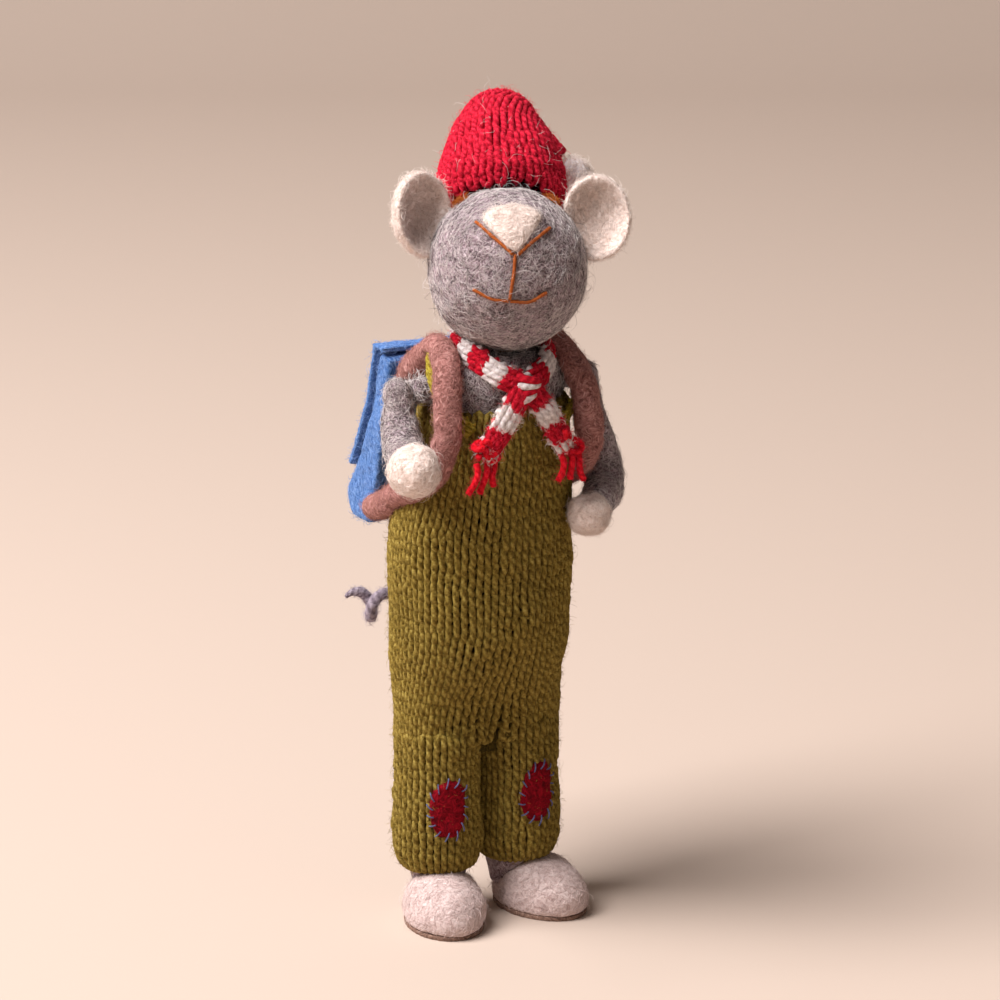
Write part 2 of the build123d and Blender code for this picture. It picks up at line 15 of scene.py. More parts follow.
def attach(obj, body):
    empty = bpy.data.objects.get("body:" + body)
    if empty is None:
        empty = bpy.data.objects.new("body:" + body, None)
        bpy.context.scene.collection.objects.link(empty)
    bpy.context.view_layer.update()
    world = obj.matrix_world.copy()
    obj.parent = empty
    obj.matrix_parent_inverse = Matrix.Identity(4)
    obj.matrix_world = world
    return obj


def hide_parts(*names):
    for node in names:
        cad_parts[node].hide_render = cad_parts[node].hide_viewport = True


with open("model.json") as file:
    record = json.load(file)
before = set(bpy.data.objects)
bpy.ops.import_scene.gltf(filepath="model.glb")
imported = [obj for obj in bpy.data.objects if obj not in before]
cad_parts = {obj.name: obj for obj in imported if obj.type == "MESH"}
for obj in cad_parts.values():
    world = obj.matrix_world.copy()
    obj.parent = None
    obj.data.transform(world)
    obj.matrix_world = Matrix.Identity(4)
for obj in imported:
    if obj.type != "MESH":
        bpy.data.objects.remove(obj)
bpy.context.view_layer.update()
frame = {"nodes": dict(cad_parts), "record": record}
joints = {j["name"]: j for j in frame["record"]["behaviour"]["joints"]}

# ---- the doll's own coordinates ---------------------------------------------------------
TAIL_ROOT = np.array([-1.0, 29.4, 97.0])
ORIGIN = np.array(joints["tail_swing"]["pos_m"]) * 1000 - TAIL_ROOT
HEAD_CENTRE = np.array([2.0, -14.0, 223.4])
YAW = math.radians(-20.0)
NOSE_RISE = math.radians(37.0)
HEAD_WIDTH = 25.7
HEAD_LENGTH = 28.4


def head_point(p):
    """Points of the head's own frame, in the doll's coordinates."""
    return head_dir(p) + HEAD_CENTRE


def head_dir(p):
    p = np.asarray(p, float)
    x = p[..., 0] * math.cos(YAW) - p[..., 1] * math.sin(YAW)
    y = p[..., 0] * math.sin(YAW) + p[..., 1] * math.cos(YAW)
    return np.stack([x, y, p[..., 2]], -1)


SIDE = head_dir((1, 0, 0))
NOSE = head_dir((0, -math.cos(NOSE_RISE), math.sin(NOSE_RISE)))
TOP = head_dir((0, math.sin(NOSE_RISE), math.cos(NOSE_RISE)))


def unit(v):
    v = np.asarray(v, float)
    return v / np.maximum(np.linalg.norm(v, axis=-1, keepdims=True), 1e-9)


def to_world(p):
    return (np.asarray(p, float) + ORIGIN) / 1000


def rgb(red, green, blue):
    """Linear colour of an 8-bit one."""
    return tuple(((c / 255 + 0.055) / 1.055) ** 2.4 if c > 10 else c / 3294.6 for c in (red, green, blue))


# ---- materials ---------------------------------------------------------------------------
def nodes_of(name, roughness, sheen, tint):
    mat = bpy.data.materials.new(name)
    mat.use_nodes = True
    tree = mat.node_tree
    bsdf = tree.nodes["Principled BSDF"]
    bsdf.inputs["Roughness"].default_value = roughness
    bsdf.inputs["Specular IOR Level"].default_value = 0.12
    bsdf.inputs["Sheen Weight"].default_value = sheen
    bsdf.inputs["Sheen Roughness"].default_value = 0.6
    bsdf.inputs["Sheen Tint"].default_value = (*tint, 1)
    return mat, tree, bsdf


def link(tree, a, b):
    tree.links.new(a, b)


def noise_node(tree, vector, scale, detail=4.0, roughness=0.6, distortion=0.0):
    node = tree.nodes.new("ShaderNodeTexNoise")
    node.inputs["Scale"].default_value = scale
    node.inputs["Detail"].default_value = detail
    node.inputs["Roughness"].default_value = roughness
    node.inputs["Distortion"].default_value = distortion
    link(tree, vector, node.inputs["Vector"])
    return node


def ramp_node(tree, factor, stops):
    node = tree.nodes.new("ShaderNodeValToRGB")
    band = node.color_ramp
    while len(band.elements) < len(stops):
        band.elements.new(0.5)
    for element, (position, colour) in zip(band.elements, stops):
        element.position = position
        element.color = (*colour, 1)
    link(tree, factor, node.inputs["Fac"])
    return node


def mix_colour(tree, factor, a, b, blend="MIX"):
    node = tree.nodes.new("ShaderNodeMix")
    node.data_type = "RGBA"
    node.blend_type = blend
    if isinstance(factor, float):
        node.inputs[0].default_value = factor
    else:
        link(tree, factor, node.inputs[0])
    link(tree, a, node.inputs[6])
    if isinstance(b, tuple):
        node.inputs[7].default_value = (*b, 1)
    else:
        link(tree, b, node.inputs[7])
    return node.outputs[2]


def math_node(tree, kind, a, b=None):
    node = tree.nodes.new("ShaderNodeMath")
    node.operation = kind
    for slot, value in zip(node.inputs, (a, b)):
        if value is None:
            continue
        if isinstance(value, (int, float)):
            slot.default_value = value
        else:
            link(tree, value, slot)
    return node.outputs[0]


def bump(tree, bsdf, height, strength, distance):
    node = tree.nodes.new("ShaderNodeBump")
    node.inputs["Strength"].default_value = strength
    node.inputs["Distance"].default_value = distance
    link(tree, height, node.inputs["Height"])
    link(tree, node.outputs["Normal"], bsdf.inputs["Normal"])


def felt(name, dark, mid, light, fibre=1.0, mottle=0.35, sheen=0.35, rough=0.95, bump_mm=0.5):
    """Matted wool: short fibres swirling every way, in three shades, over a slow mottling."""
    mat, tree, bsdf = nodes_of(name, rough, sheen, light)
    place = tree.nodes.new("ShaderNodeTexCoord").outputs["Object"]
    swirl = noise_node(tree, place, 85.0, 2.0)
    bend = tree.nodes.new("ShaderNodeVectorMath")
    bend.operation = "MULTIPLY_ADD"
    bend.inputs[1].default_value = (0.028, 0.028, 0.028)
    link(tree, swirl.outputs["Color"], bend.inputs[0])
    link(tree, place, bend.inputs[2])
    streaks = []
    for axis, scale in enumerate(((900, 900, 150), (150, 900, 900), (900, 150, 900))):
        stretch = tree.nodes.new("ShaderNodeMapping")
        stretch.inputs["Scale"].default_value = tuple(s * fibre for s in scale)
        stretch.inputs["Rotation"].default_value = (0.5 + axis, 0.9 * axis, 0.4)
        link(tree, bend.outputs[0], stretch.inputs["Vector"])
        streaks.append(noise_node(tree, stretch.outputs[0], 1.0, 3.0, 0.55).outputs["Fac"])
    fibres = math_node(tree, "MAXIMUM", math_node(tree, "MAXIMUM", streaks[0], streaks[1]), streaks[2])
    tone = ramp_node(tree, fibres, [(0.44, dark), (0.56, mid), (0.72, light)])
    slow = noise_node(tree, place, 60.0, 3.0)
    patches = ramp_node(tree, slow.outputs["Fac"], [(0.35, (0.72, 0.72, 0.72)), (0.65, (1.0, 1.0, 1.0))])
    colour = mix_colour(tree, mottle, tone.outputs["Color"], patches.outputs["Color"], "MULTIPLY")
    link(tree, colour, bsdf.inputs["Base Color"])
    bump(tree, bsdf, fibres, 0.8, bump_mm / 1000)
    return mat


def yarn(name, dark, mid, light, pitch=4.2, plies=2, sheen=0.4, bump_mm=0.55):
    """Fuzzy wool yarn. The tubes carry their own angle and length, which turn the plies; the colour is painted darker
    in the grooves between the plies as shade, over a random fibre tone.
    """
    mat, tree, bsdf = nodes_of(name, 0.95, sheen, light)
    attribute = tree.nodes.new("ShaderNodeAttribute")
    attribute.attribute_name = "yarn"
    parts = tree.nodes.new("ShaderNodeSeparateXYZ")
    link(tree, attribute.outputs["Vector"], parts.inputs[0])
    angle = math_node(tree, "ARCTAN2", parts.outputs["Y"], parts.outputs["X"])
    turn = math_node(tree, "MULTIPLY", parts.outputs["Z"], 2 * math.pi / pitch)
    wave = math_node(tree, "COSINE", math_node(tree, "MULTIPLY", math_node(tree, "ADD", angle, turn), plies))
    place = tree.nodes.new("ShaderNodeTexCoord").outputs["Object"]
    hairs = noise_node(tree, place, 1500.0, 3.0, 0.6, 1.2).outputs["Fac"]
    # the ply wave sets both the bump and the colour, so the grooves between plies get painted shade
    height = math_node(tree, "ADD", math_node(tree, "MULTIPLY", wave, 0.12), hairs)
    tone = ramp_node(tree, height, [(0.25, dark), (0.52, mid), (0.8, light)])
    slow = noise_node(tree, place, 45.0, 2.0)
    patches = ramp_node(tree, slow.outputs["Fac"], [(0.35, (0.7, 0.7, 0.7)), (0.65, (1.0, 1.0, 1.0))])
    colour = mix_colour(tree, 0.4, tone.outputs["Color"], patches.outputs["Color"], "MULTIPLY")
    link(tree, colour, bsdf.inputs["Base Color"])
    bump(tree, bsdf, height, 0.8, bump_mm / 1000)
    return mat


def fibre_mat(name, colour, rough=0.7):
    mat, tree, bsdf = nodes_of(name, rough, 0.2, colour)
    bsdf.inputs["Base Color"].default_value = (*colour, 1)
    return mat


GREY = felt("grey_wool", rgb(76, 62, 66), rgb(146, 124, 130), rgb(218, 202, 208), mottle=0.5)
CREAM = felt("cream_wool", rgb(196, 172, 158), rgb(232, 212, 203), rgb(250, 238, 231), mottle=0.2)
WHITE = felt("white_wool", rgb(205, 190, 190), rgb(232, 222, 224), rgb(250, 246, 246), mottle=0.2)
BLUE = felt("blue_wool", rgb(44, 80, 136), rgb(78, 118, 178), rgb(134, 164, 214), mottle=0.45)
BROWN = felt("brown_wool", rgb(94, 56, 52), rgb(152, 102, 96), rgb(202, 154, 148), mottle=0.3)
PINK = felt("shoe_wool", rgb(176, 150, 146), rgb(206, 184, 180), rgb(228, 210, 206), mottle=0.25)
SOLE = felt("sole_wool", rgb(84, 64, 56), rgb(126, 98, 86), rgb(166, 136, 120), mottle=0.3)
PATCH = felt("patch_wool", rgb(70, 0, 10), rgb(116, 3, 18), rgb(158, 16, 34), mottle=0.4)
EYE = felt("eye_wool", rgb(96, 46, 18), rgb(166, 88, 38), rgb(206, 130, 70), mottle=0.3)
OLIVE = yarn("olive_yarn", rgb(64, 48, 12), rgb(132, 108, 44), rgb(178, 158, 86), pitch=6.0)
LIME = yarn("strap_yarn", rgb(110, 92, 16), rgb(166, 146, 44), rgb(206, 190, 92))
RED = yarn("red_yarn", rgb(128, 6, 26), rgb(206, 22, 50), rgb(238, 62, 86))
SCARF_RED = yarn("scarf_red_yarn", rgb(122, 2, 22), rgb(190, 14, 38), rgb(222, 44, 62))
SCARF_WHITE = yarn("scarf_white_yarn", rgb(178, 160, 158), rgb(224, 212, 210), rgb(250, 244, 242))
BRIGHT_RED = yarn("fringe_yarn", rgb(168, 4, 20), rgb(222, 14, 34), rgb(242, 48, 60))
LILAC = yarn("tail_yarn", rgb(92, 80, 92), rgb(148, 134, 146), rgb(198, 186, 196))
THREAD = yarn("mouth_thread", rgb(110, 48, 16), rgb(168, 84, 38), rgb(206, 124, 70), pitch=1.1, bump_mm=0.2)
STITCH = yarn("patch_thread", rgb(48, 52, 84), rgb(86, 92, 128), rgb(128, 134, 168), pitch=0.9, bump_mm=0.12)
# dark olive backing, a darker copy of the yarn colour: painted shade for the gaps between the dungarees' stitches
OLIVE_PAINTED_SHADE = felt("olive_painted_shade_backing", rgb(34, 26, 6), rgb(58, 46, 14), rgb(84, 70, 26))
# dark red backing, a darker copy of the yarn colour: painted shade for the gaps between the hat's and scarf's stitches
RED_PAINTED_SHADE = felt("red_painted_shade_backing", rgb(70, 2, 12), rgb(104, 6, 22), rgb(140, 16, 36))
LIGHT_HAIR = fibre_mat("light_hair", rgb(232, 222, 220))
DARK_HAIR = fibre_mat("dark_hair", rgb(72, 62, 64))
CREAM_HAIR = fibre_mat("cream_hair", rgb(244, 230, 222))
BLUE_HAIR = fibre_mat("blue_hair", rgb(126, 160, 214))
BROWN_HAIR = fibre_mat("brown_hair", rgb(176, 126, 116))
PINK_HAIR = fibre_mat("pink_hair", rgb(222, 202, 198))
OLIVE_HAIR = fibre_mat("olive_hair", rgb(158, 136, 62))
OLIVE_SHADE_HAIR = fibre_mat("olive_shade_hair", rgb(84, 66, 18))
RED_HAIR = fibre_mat("red_hair", rgb(226, 50, 74))
EYE_HAIR = fibre_mat("eye_hair", rgb(176, 96, 42))
LILAC_HAIR = fibre_mat("lilac_hair", rgb(176, 164, 176))
PATCH_HAIR = fibre_mat("patch_hair", rgb(140, 12, 30))


# ---- meshes -------------------------------------------------------------------------------
def make(name, points, faces, mat, body, replaces=(), tags=None):
    """A smooth mesh piece from points in the doll's millimetres."""
    mesh = bpy.data.meshes.new(name)
    mesh.from_pydata(to_world(points).tolist(), [], faces)
    mesh.polygons.foreach_set("use_smooth", np.ones(len(mesh.polygons), bool))
    if tags is not None:
        layer = mesh.attributes.new("yarn", "FLOAT_VECTOR", "POINT")
        layer.data.foreach_set("vector", np.asarray(tags, np.float32).ravel())
    mesh.materials.append(mat)
    piece = bpy.data.objects.new(name, mesh)
    bpy.context.collection.objects.link(piece)
    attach(piece, body)
    if replaces:
        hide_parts(*replaces)
    return piece


def grid_faces(rows, cols, wrap_rows=False, wrap_cols=False):
    """Four-sided faces of a grid of points, closed along either way."""
    i = np.arange(rows if wrap_rows else rows - 1)[:, None]
    j = np.arange(cols if wrap_cols else cols - 1)[None, :]
    across, up = (j + 1) % cols, (i + 1) % rows
    return np.stack([i * cols + j, i * cols + across, up * cols + across, up * cols + j], -1).reshape(-1, 4)


def tubes(paths, normals, radius, sides=6, closed=False, flat=1.0):
    """Points, faces and tags of tubes along paths, each an array (tubes, points, 3)."""
    paths = np.asarray(paths, float)
    if closed:
        tangent = np.roll(paths, -1, 1) - np.roll(paths, 1, 1)
        step = np.linalg.norm(np.roll(paths, -1, 1) - paths, axis=-1)
    else:
        tangent = np.gradient(paths, axis=1)
        step = np.linalg.norm(np.diff(paths, axis=1, append=paths[:, -1:]), axis=-1)
    tangent = unit(tangent)
    side = unit(np.cross(tangent, normals))
    up = np.cross(side, tangent)
    count, length = paths.shape[:2]
    radius = np.broadcast_to(radius, (count, length))[:, :, None, None]
    phi = 2 * math.pi * np.arange(sides) / sides
    around = np.cos(phi)[:, None] * flat * up[:, :, None, :] + np.sin(phi)[:, None] * side[:, :, None, :]
    points = (paths[:, :, None, :] + radius * around).reshape(-1, 3)
    start = np.arange(count)[:, None, None] * length * sides
    faces = (start + grid_faces(length, sides, closed, True)[None]).reshape(-1, 4).tolist()
    if not closed:
        for k in range(count):
            first = k * length * sides
            last = first + (length - 1) * sides
            faces.append(list(range(first + sides - 1, first - 1, -1)))
            faces.append(list(range(last, last + sides)))
    along = np.cumsum(step, axis=1)[:, :, None] + np.arange(count)[:, None, None] * 1.7
    shape = (count, length, sides)
    tags = np.stack([
        np.broadcast_to(np.cos(phi), shape), np.broadcast_to(np.sin(phi), shape), np.broadcast_to(along, shape),
    ], -1).reshape(-1, 3)
    return points, faces, tags


def wobble(points, amount, scale, seed=0.0):
    """Slow soft noise, one number for each point."""
    shift = Vector((seed * 7.3, seed * 3.1, seed * 5.7))
    flat = np.asarray(points, float).reshape(-1, 3)
    value = np.array([noise.noise(Vector(p) / scale + shift) for p in flat])
    return (value * amount).reshape(np.asarray(points).shape[:-1])


def smooth_line(points, count):
    """Even samples of the Catmull-Rom curve through some points, of any width."""
    p = np.asarray(points, float)
    p = np.vstack([2 * p[0] - p[1], p, 2 * p[-1] - p[-2]])
    t = np.linspace(0, len(p) - 3 - 1e-9, count * 4)
    i = t.astype(int)
    f = (t - i)[:, None]
    a, b, c, d = p[i], p[i + 1], p[i + 2], p[i + 3]
    line = 0.5 * (2 * b + (c - a) * f + (2 * a - 5 * b + 4 * c - d) * f ** 2 + (3 * b - a - 3 * c + d) * f ** 3)
    run = np.concatenate([[0], np.cumsum(np.linalg.norm(np.diff(line[:, :3], axis=0), axis=1))])
    want = np.linspace(0, run[-1], count)
    return np.stack([np.interp(want, run, line[:, k]) for k in range(line.shape[1])], -1)


def soft_copy(node, name, mat, body, voxel=0.9, passes=6, amount=0.5, scale=7.0, seed=1.0, shape=None):
    """A CAD node's shape, remeshed, rounded and made uneven like felted wool."""
    source = frame["nodes"][node]
    piece = bpy.data.objects.new(name, source.data.copy())
    bpy.context.collection.objects.link(piece)
    remesh = piece.modifiers.new("remesh", "REMESH")
    remesh.mode = "VOXEL"
    remesh.voxel_size = voxel / 1000
    smooth = piece.modifiers.new("smooth", "SMOOTH")
    smooth.iterations = passes
    smooth.factor = 0.5
    shown = piece.evaluated_get(bpy.context.evaluated_depsgraph_get())
    mesh = bpy.data.meshes.new_from_object(shown)
    piece.modifiers.clear()
    piece.data = mesh
    count = len(mesh.vertices)
    points = np.empty(count * 3)
    mesh.vertices.foreach_get("co", points)
    normals = np.empty(count * 3)
    mesh.vertex_normals.foreach_get("vector", normals)
    points = points.reshape(-1, 3) * 1000 - ORIGIN
    normals = normals.reshape(-1, 3)
    lift = wobble(points, amount, scale, seed) + wobble(points, amount * 0.45, scale * 0.32, seed + 3)
    points = points + normals * lift[:, None]
    if shape:
        points = shape(points, normals)
    mesh.vertices.foreach_set("co", to_world(points).ravel())
    mesh.polygons.foreach_set("use_smooth", np.ones(len(mesh.polygons), bool))
    mesh.materials.clear()
    mesh.materials.append(mat)
    mesh.update()
    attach(piece, body)
    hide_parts(node)
    return piece


def scatter(piece, count, rng, keep=None):
    """Random places on a piece, with the face normals there, in the doll's millimetres."""
    mesh = piece.data
    mesh.calc_loop_triangles()
    corner = np.empty(len(mesh.loop_triangles) * 3, np.int32)
    mesh.loop_triangles.foreach_get("vertices", corner)
    points = np.empty(len(mesh.vertices) * 3)
    mesh.vertices.foreach_get("co", points)
    points = points.reshape(-1, 3) * 1000 - ORIGIN
    a, b, c = (points[corner.reshape(-1, 3)[:, k]] for k in range(3))
    cross = np.cross(b - a, c - a)
    area = np.linalg.norm(cross, axis=1)
    total = np.cumsum(area)
    pick = np.searchsorted(total, rng.random(count) * total[-1]).clip(0, len(area) - 1)
    u, v = rng.random((2, count))
    over = u + v > 1
    u[over], v[over] = 1 - u[over], 1 - v[over]
    place = a[pick] + (b[pick] - a[pick]) * u[:, None] + (c[pick] - a[pick]) * v[:, None]
    normal = unit(cross[pick])
    if keep is not None:
        chosen = keep(place)
        place, normal = place[chosen], normal[chosen]
    return place, normal


def fuzz(name, piece, count, mat, body, length=5.0, radius=0.07, lift=0.35, stray=0.12, hug=0.0,
         seed=1, keep=None, stray_lift=0.5):
    """Loose fibres lying on a piece, and a few standing off it."""
    rng = np.random.default_rng(seed)
    place, normal = scatter(piece, count, rng, keep)
    count = len(place)
    along = unit(np.cross(normal, rng.normal(size=(count, 3))))
    across = np.cross(normal, along)
    reach = length * rng.uniform(0.5, 1.3, count)
    rise = np.where(rng.random(count) < stray, stray_lift * reach, lift * rng.uniform(0.3, 1.0, count))
    bend = rng.normal(0, 0.3, count)
    kink = rng.normal(0, 0.12, count)
    s = np.linspace(0, 1, 5)
    forward = (s[None, :] * reach[:, None])[..., None] * along[:, None, :]
    aside = (bend[:, None] * s ** 2 + kink[:, None] * np.sin(5 * s)) * reach[:, None]
    swerve = aside[..., None] * across[:, None, :]
    height = (rise[:, None] * np.sin(s * 2.2) - hug * (s * reach[:, None]) ** 2 / 2 + 0.05)[..., None]
    paths = place[:, None, :] + forward + swerve + height * normal[:, None, :]
    thin = radius * np.array([0.9, 1.0, 0.9, 0.7, 0.35]) * rng.uniform(0.7, 1.3, count)[:, None]
    points, faces, _ = tubes(paths, np.broadcast_to(normal[:, None, :], paths.shape), thin, sides=3)
    return make(name, points, faces, mat, body)


# ---- knitting -----------------------------------------------------------------------------
def knit_paths(surface, cols, first, last, height, rng, segments=10, bulge=0.13, depth=0.74, closed=True):
    """Yarn of stockinette courses on a surface(u, v): u once round, v in millimetres up it."""
    rows = max(1, int(round((last - first) / height)))
    step = (last - first) / rows
    count = cols * segments + (0 if closed else 1)
    t = np.arange(count) / segments
    paths, normals = [], []
    for row in range(rows):
        phase = 2 * math.pi * t
        loose = np.interp(t, np.arange(cols + 1), rng.normal(0, 1, cols + 1))
        uneven = np.interp(t, np.arange(cols * 2 + 1) / 2, rng.normal(0, 1, cols * 2 + 1))
        x = t + bulge * np.sin(2 * phase) + 0.05 * loose + 0.03 * uneven
        y = first + step * (row + 0.5 - (0.93 + 0.07 * loose) * np.cos(phase) + 0.1 * uneven)
        z = -depth * np.cos(2 * phase) + 0.2 * uneven
        p, n = surface(x / cols, y)
        paths.append(p + n * z[:, None])
        normals.append(n)
    return np.array(paths), np.array(normals)


def with_normals(shape, eps=1e-3):
    """Adds outward normals to a tube-like shape(u, v)."""
    def surface(u, v):
        p = shape(u, v)
        du = shape(u + eps, v) - shape(u - eps, v)
        dv = shape(u, v + 0.2) - shape(u, v - 0.2)
        return p, unit(np.cross(du, dv))
    return surface


def sheet_mesh(surface, first, last, rows, cols, inset):
    """A plain backing just inside a knitted surface; its dark colour is painted shade between the stitches."""
    u, v = np.meshgrid(np.arange(cols) / cols, np.linspace(first, last, rows))
    p, n = surface(u.ravel(), v.ravel())
    return p - n * inset, grid_faces(rows, cols, False, True).tolist()


# dungarees: height, centre x, centre y, half width, half depth
TRUNK = np.array([
    (56, -1.2, 3.3, 28.0, 16.4),
    (72, -1.2, 3.0, 28.2, 20.0),
    (88, -1.2, 1.4, 28.5, 24.0),
    (110, -1.4, 0.5, 29.3, 26.2),
    (135, -1.2, 0.0, 29.5, 26.2),
    (150, 0.0, -1.5, 27.6, 24.2),
    (165, 1.0, -3.5, 25.0, 21.6),
    (180, 1.6, -5.6, 23.4, 19.6),
])
CROTCH_X = -1.3
CROTCH_Y = 3.3
LEG_REACH = 14.6                 # from the crotch to each leg's centre
LEG_ROUND = 13.2
LEG_SPLIT = 1.5                  # how sharply the outline parts into two legs
COURSE = 3.7                     # height of a row of knitting


def trunk_shape(u, v):
    """Two legs side by side low down, one oval higher up, with a fold between the legs."""
    cx, cy, a, b = (np.interp(v, TRUNK[:, 0], TRUNK[:, k]) for k in range(1, 5))
    angle = 2 * math.pi * u
    c, s = np.cos(angle), np.sin(angle)
    slump = 1 + wobble(np.stack([c * 25, s * 25, v], -1), 0.04, 15.0, 2.0)
    sway = wobble(np.stack([c * 30, s * 30, v * 0.4], -1), 1.6, 14.0, 8.0)
    low_x = CROTCH_X + LEG_REACH * np.tanh(LEG_SPLIT * c) / math.tanh(LEG_SPLIT) + LEG_ROUND * c * slump
    low_y = CROTCH_Y + LEG_ROUND * s * slump
    share = np.clip((v - 64) / 40, 0, 1)
    share = share * share * (3 - 2 * share)
    x = low_x + (cx + a * c * slump - low_x) * share
    y = low_y + (cy + b * s * slump - low_y) * share
    fold = 4.0 * np.exp(-((x - CROTCH_X) / 4.6) ** 2) * np.clip((94 - v) / 30, 0, 1) ** 1.5
    return np.stack([x, y - np.sign(s) * fold * np.abs(s), v + sway * share], -1)


LEG_CENTRES = {"right": (-15.9, 3.0), "left": (13.3, 3.6)}
# trouser leg: height and radius, from the gathered hem up
LEG_PROFILE = np.array([
    (14, 7.6), (17, 9.6), (19.5, 11.9), (24, 13.4), (31, 13.6), (45, 12.9), (62, 13.1), (80, 13.2),
])


def leg_shape(side):
    """Surface of one trouser leg: u once round it, v in millimetres up it."""
    cx, cy = LEG_CENTRES[side]
    seed = 4.0 if side == "left" else 5.0

    def shape(u, v):
        radius = np.interp(v, LEG_PROFILE[:, 0], LEG_PROFILE[:, 1])
        angle = 2 * math.pi * u
        slump = 1 + wobble(np.stack([np.cos(angle) * 12, np.sin(angle) * 12, v], -1), 0.05, 9.0, seed)
        return np.stack([cx + radius * slump * np.cos(angle), cy + radius * slump * np.sin(angle), v], -1)
    return shape


rng = np.random.default_rng(11)
YARN = 1.14                      # radius
garment_points, garment_faces, garment_tags, backing_points, backing_faces = [], [], [], [], []


def add_part(points, faces, tags):
    offset = sum(len(p) for p in garment_points)
    garment_points.append(points)
    garment_faces.extend([[i + offset for i in f] for f in faces])
    garment_tags.append(tags)


def add_backing(points, faces):
    offset = sum(len(p) for p in backing_points)
    backing_points.append(points)
    backing_faces.extend([[i + offset for i in f] for f in faces])


trunk = with_normals(trunk_shape)
paths, normals = knit_paths(trunk, 36, 62.5, 177.0, COURSE, rng)
points, faces, tags = tubes(paths, normals, YARN, closed=True)
dungarees = make("dungarees_knit", points, faces, OLIVE, "doll", ["dungarees"], tags)
add_backing(*sheet_mesh(trunk, 57, 175, 60, 72, 1.5))
for side in LEG_CENTRES:
    leg = with_normals(leg_shape(side))
    paths, normals = knit_paths(leg, 18, 18.2, 65, COURSE, rng)
    add_part(*tubes(paths, normals, YARN, closed=True))
    add_backing(*sheet_mesh(leg, 15, 70, 30, 48, 1.5))
# a gusset closes the garment between the legs, dark olive as painted shade there
around = np.linspace(0, 2 * math.pi, 41)[:-1]
share = np.linspace(0.02, 1, 9)
gusset = np.stack([CROTCH_X + 11.0 * np.cos(around)[None] * share[:, None],
                   CROTCH_Y + 9.0 * np.sin(around)[None] * share[:, None],
                   64.5 + 3.0 * share[:, None] ** 2 * np.abs(np.cos(around))[None]], -1)
add_backing(gusset.reshape(-1, 3), grid_faces(9, 40, False, True)[:, ::-1].tolist())
legs_knit = make("trouser_legs_knit", np.vstack(garment_points), garment_faces, OLIVE, "doll", (),
                 np.vstack(garment_tags))
# the backing sheets and gusset are dark olive: painted shade between the stitches and between the legs
make("dungarees_painted_shade_backing", np.vstack(backing_points), backing_faces, OLIVE_PAINTED_SHADE, "doll")
for name, piece, count in (("dungarees", dungarees, 11000), ("trouser_legs", legs_knit, 6500)):
    fuzz(f"{name}_fuzz", piece, count, OLIVE_HAIR, "doll", length=2.6, radius=0.045, lift=0.5,
         stray=0.3, seed=2, stray_lift=0.5)
    fuzz(f"{name}_dark_fuzz", piece, count // 2, OLIVE_SHADE_HAIR, "doll", length=2.6, radius=0.045,
         lift=0.4, stray=0.1, seed=3, stray_lift=0.4)

# ---- hat ------------------------------------------------------------------------------------
# a line up the hat, in the head's frame, and the radius about it
HAT_LINE = [
    (0, 18.0, 10.9, 19.8), (0, 21.4, 18.5, 20.0), (0, 24.8, 26.0, 19.2), (0, 28.2, 33.0, 17.0),
    (0.3, 33.0, 38.6, 13.6), (2.6, 40.0, 40.2, 10.0), (7.4, 45.2, 37.2, 7.3), (13.4, 46.4, 32.4, 5.4),
    (20.4, 43.8, 26.6, 3.6),
]
hat_line = smooth_line(HAT_LINE, 80)
hat_run = np.concatenate([[0], np.cumsum(np.linalg.norm(np.diff(hat_line[:, :3], axis=0), axis=1))])
HAT_LENGTH = hat_run[-1]
hat_dirs = unit(np.gradient(hat_line[:, :3], axis=0))
brim_normal = np.array([0, math.sin(math.radians(55)), math.cos(math.radians(55))])


def hat_shape(u, v):
    v = np.clip(v, -3, HAT_LENGTH + 3)
    centre = np.stack([np.interp(v, hat_run, hat_line[:, k]) for k in range(3)], -1)
    radius = np.interp(v, hat_run, hat_line[:, 3])
    way = unit(np.stack([np.interp(v, hat_run, hat_dirs[:, k]) for k in range(3)], -1))
    level = np.clip(v / 20, 0, 1)[..., None]
    plane = unit(brim_normal * (1 - level) + way * level)
    across = unit(np.cross(np.broadcast_to([0.0, 1.0, -0.4], plane.shape), plane) * -1)
    front = np.cross(plane, across)
    angle = 2 * math.pi * u
    c, s = np.cos(angle)[..., None], np.sin(angle)[..., None]
    tilt = (1 + 0.15 * (1 - level))
    slump = 1 + wobble(centre + radius[..., None] * (c * across + s * front), 0.05, 11.0, 6.0)[..., None]
    over = np.minimum(v, 0)[..., None] * plane
    return head_point(centre + radius[..., None] * slump * (c * across + s * front * tilt) + over)


hat_surface = with_normals(hat_shape)
hat_parts, hat_faces, hat_tags, offset = [], [], [], 0
zones = [(0.6, 25.0, 25), (25.0, 33.0, 21), (33.0, 41.0, 15), (41.0, 50.0, 10), (50.0, HAT_LENGTH, 7)]
for first, last, cols in zones:
    paths, normals = knit_paths(hat_surface, cols, first, last, 3.55, rng)
    points, faces, tags = tubes(paths, normals, YARN if cols > 12 else 0.95, closed=True)
    hat_faces.extend([[i + offset for i in f] for f in faces])
    hat_parts.append(points)
    hat_tags.append(tags)
    offset += len(points)
hat = make("hat_knit", np.vstack(hat_parts), hat_faces, RED, "hat", ["hat"], np.vstack(hat_tags))
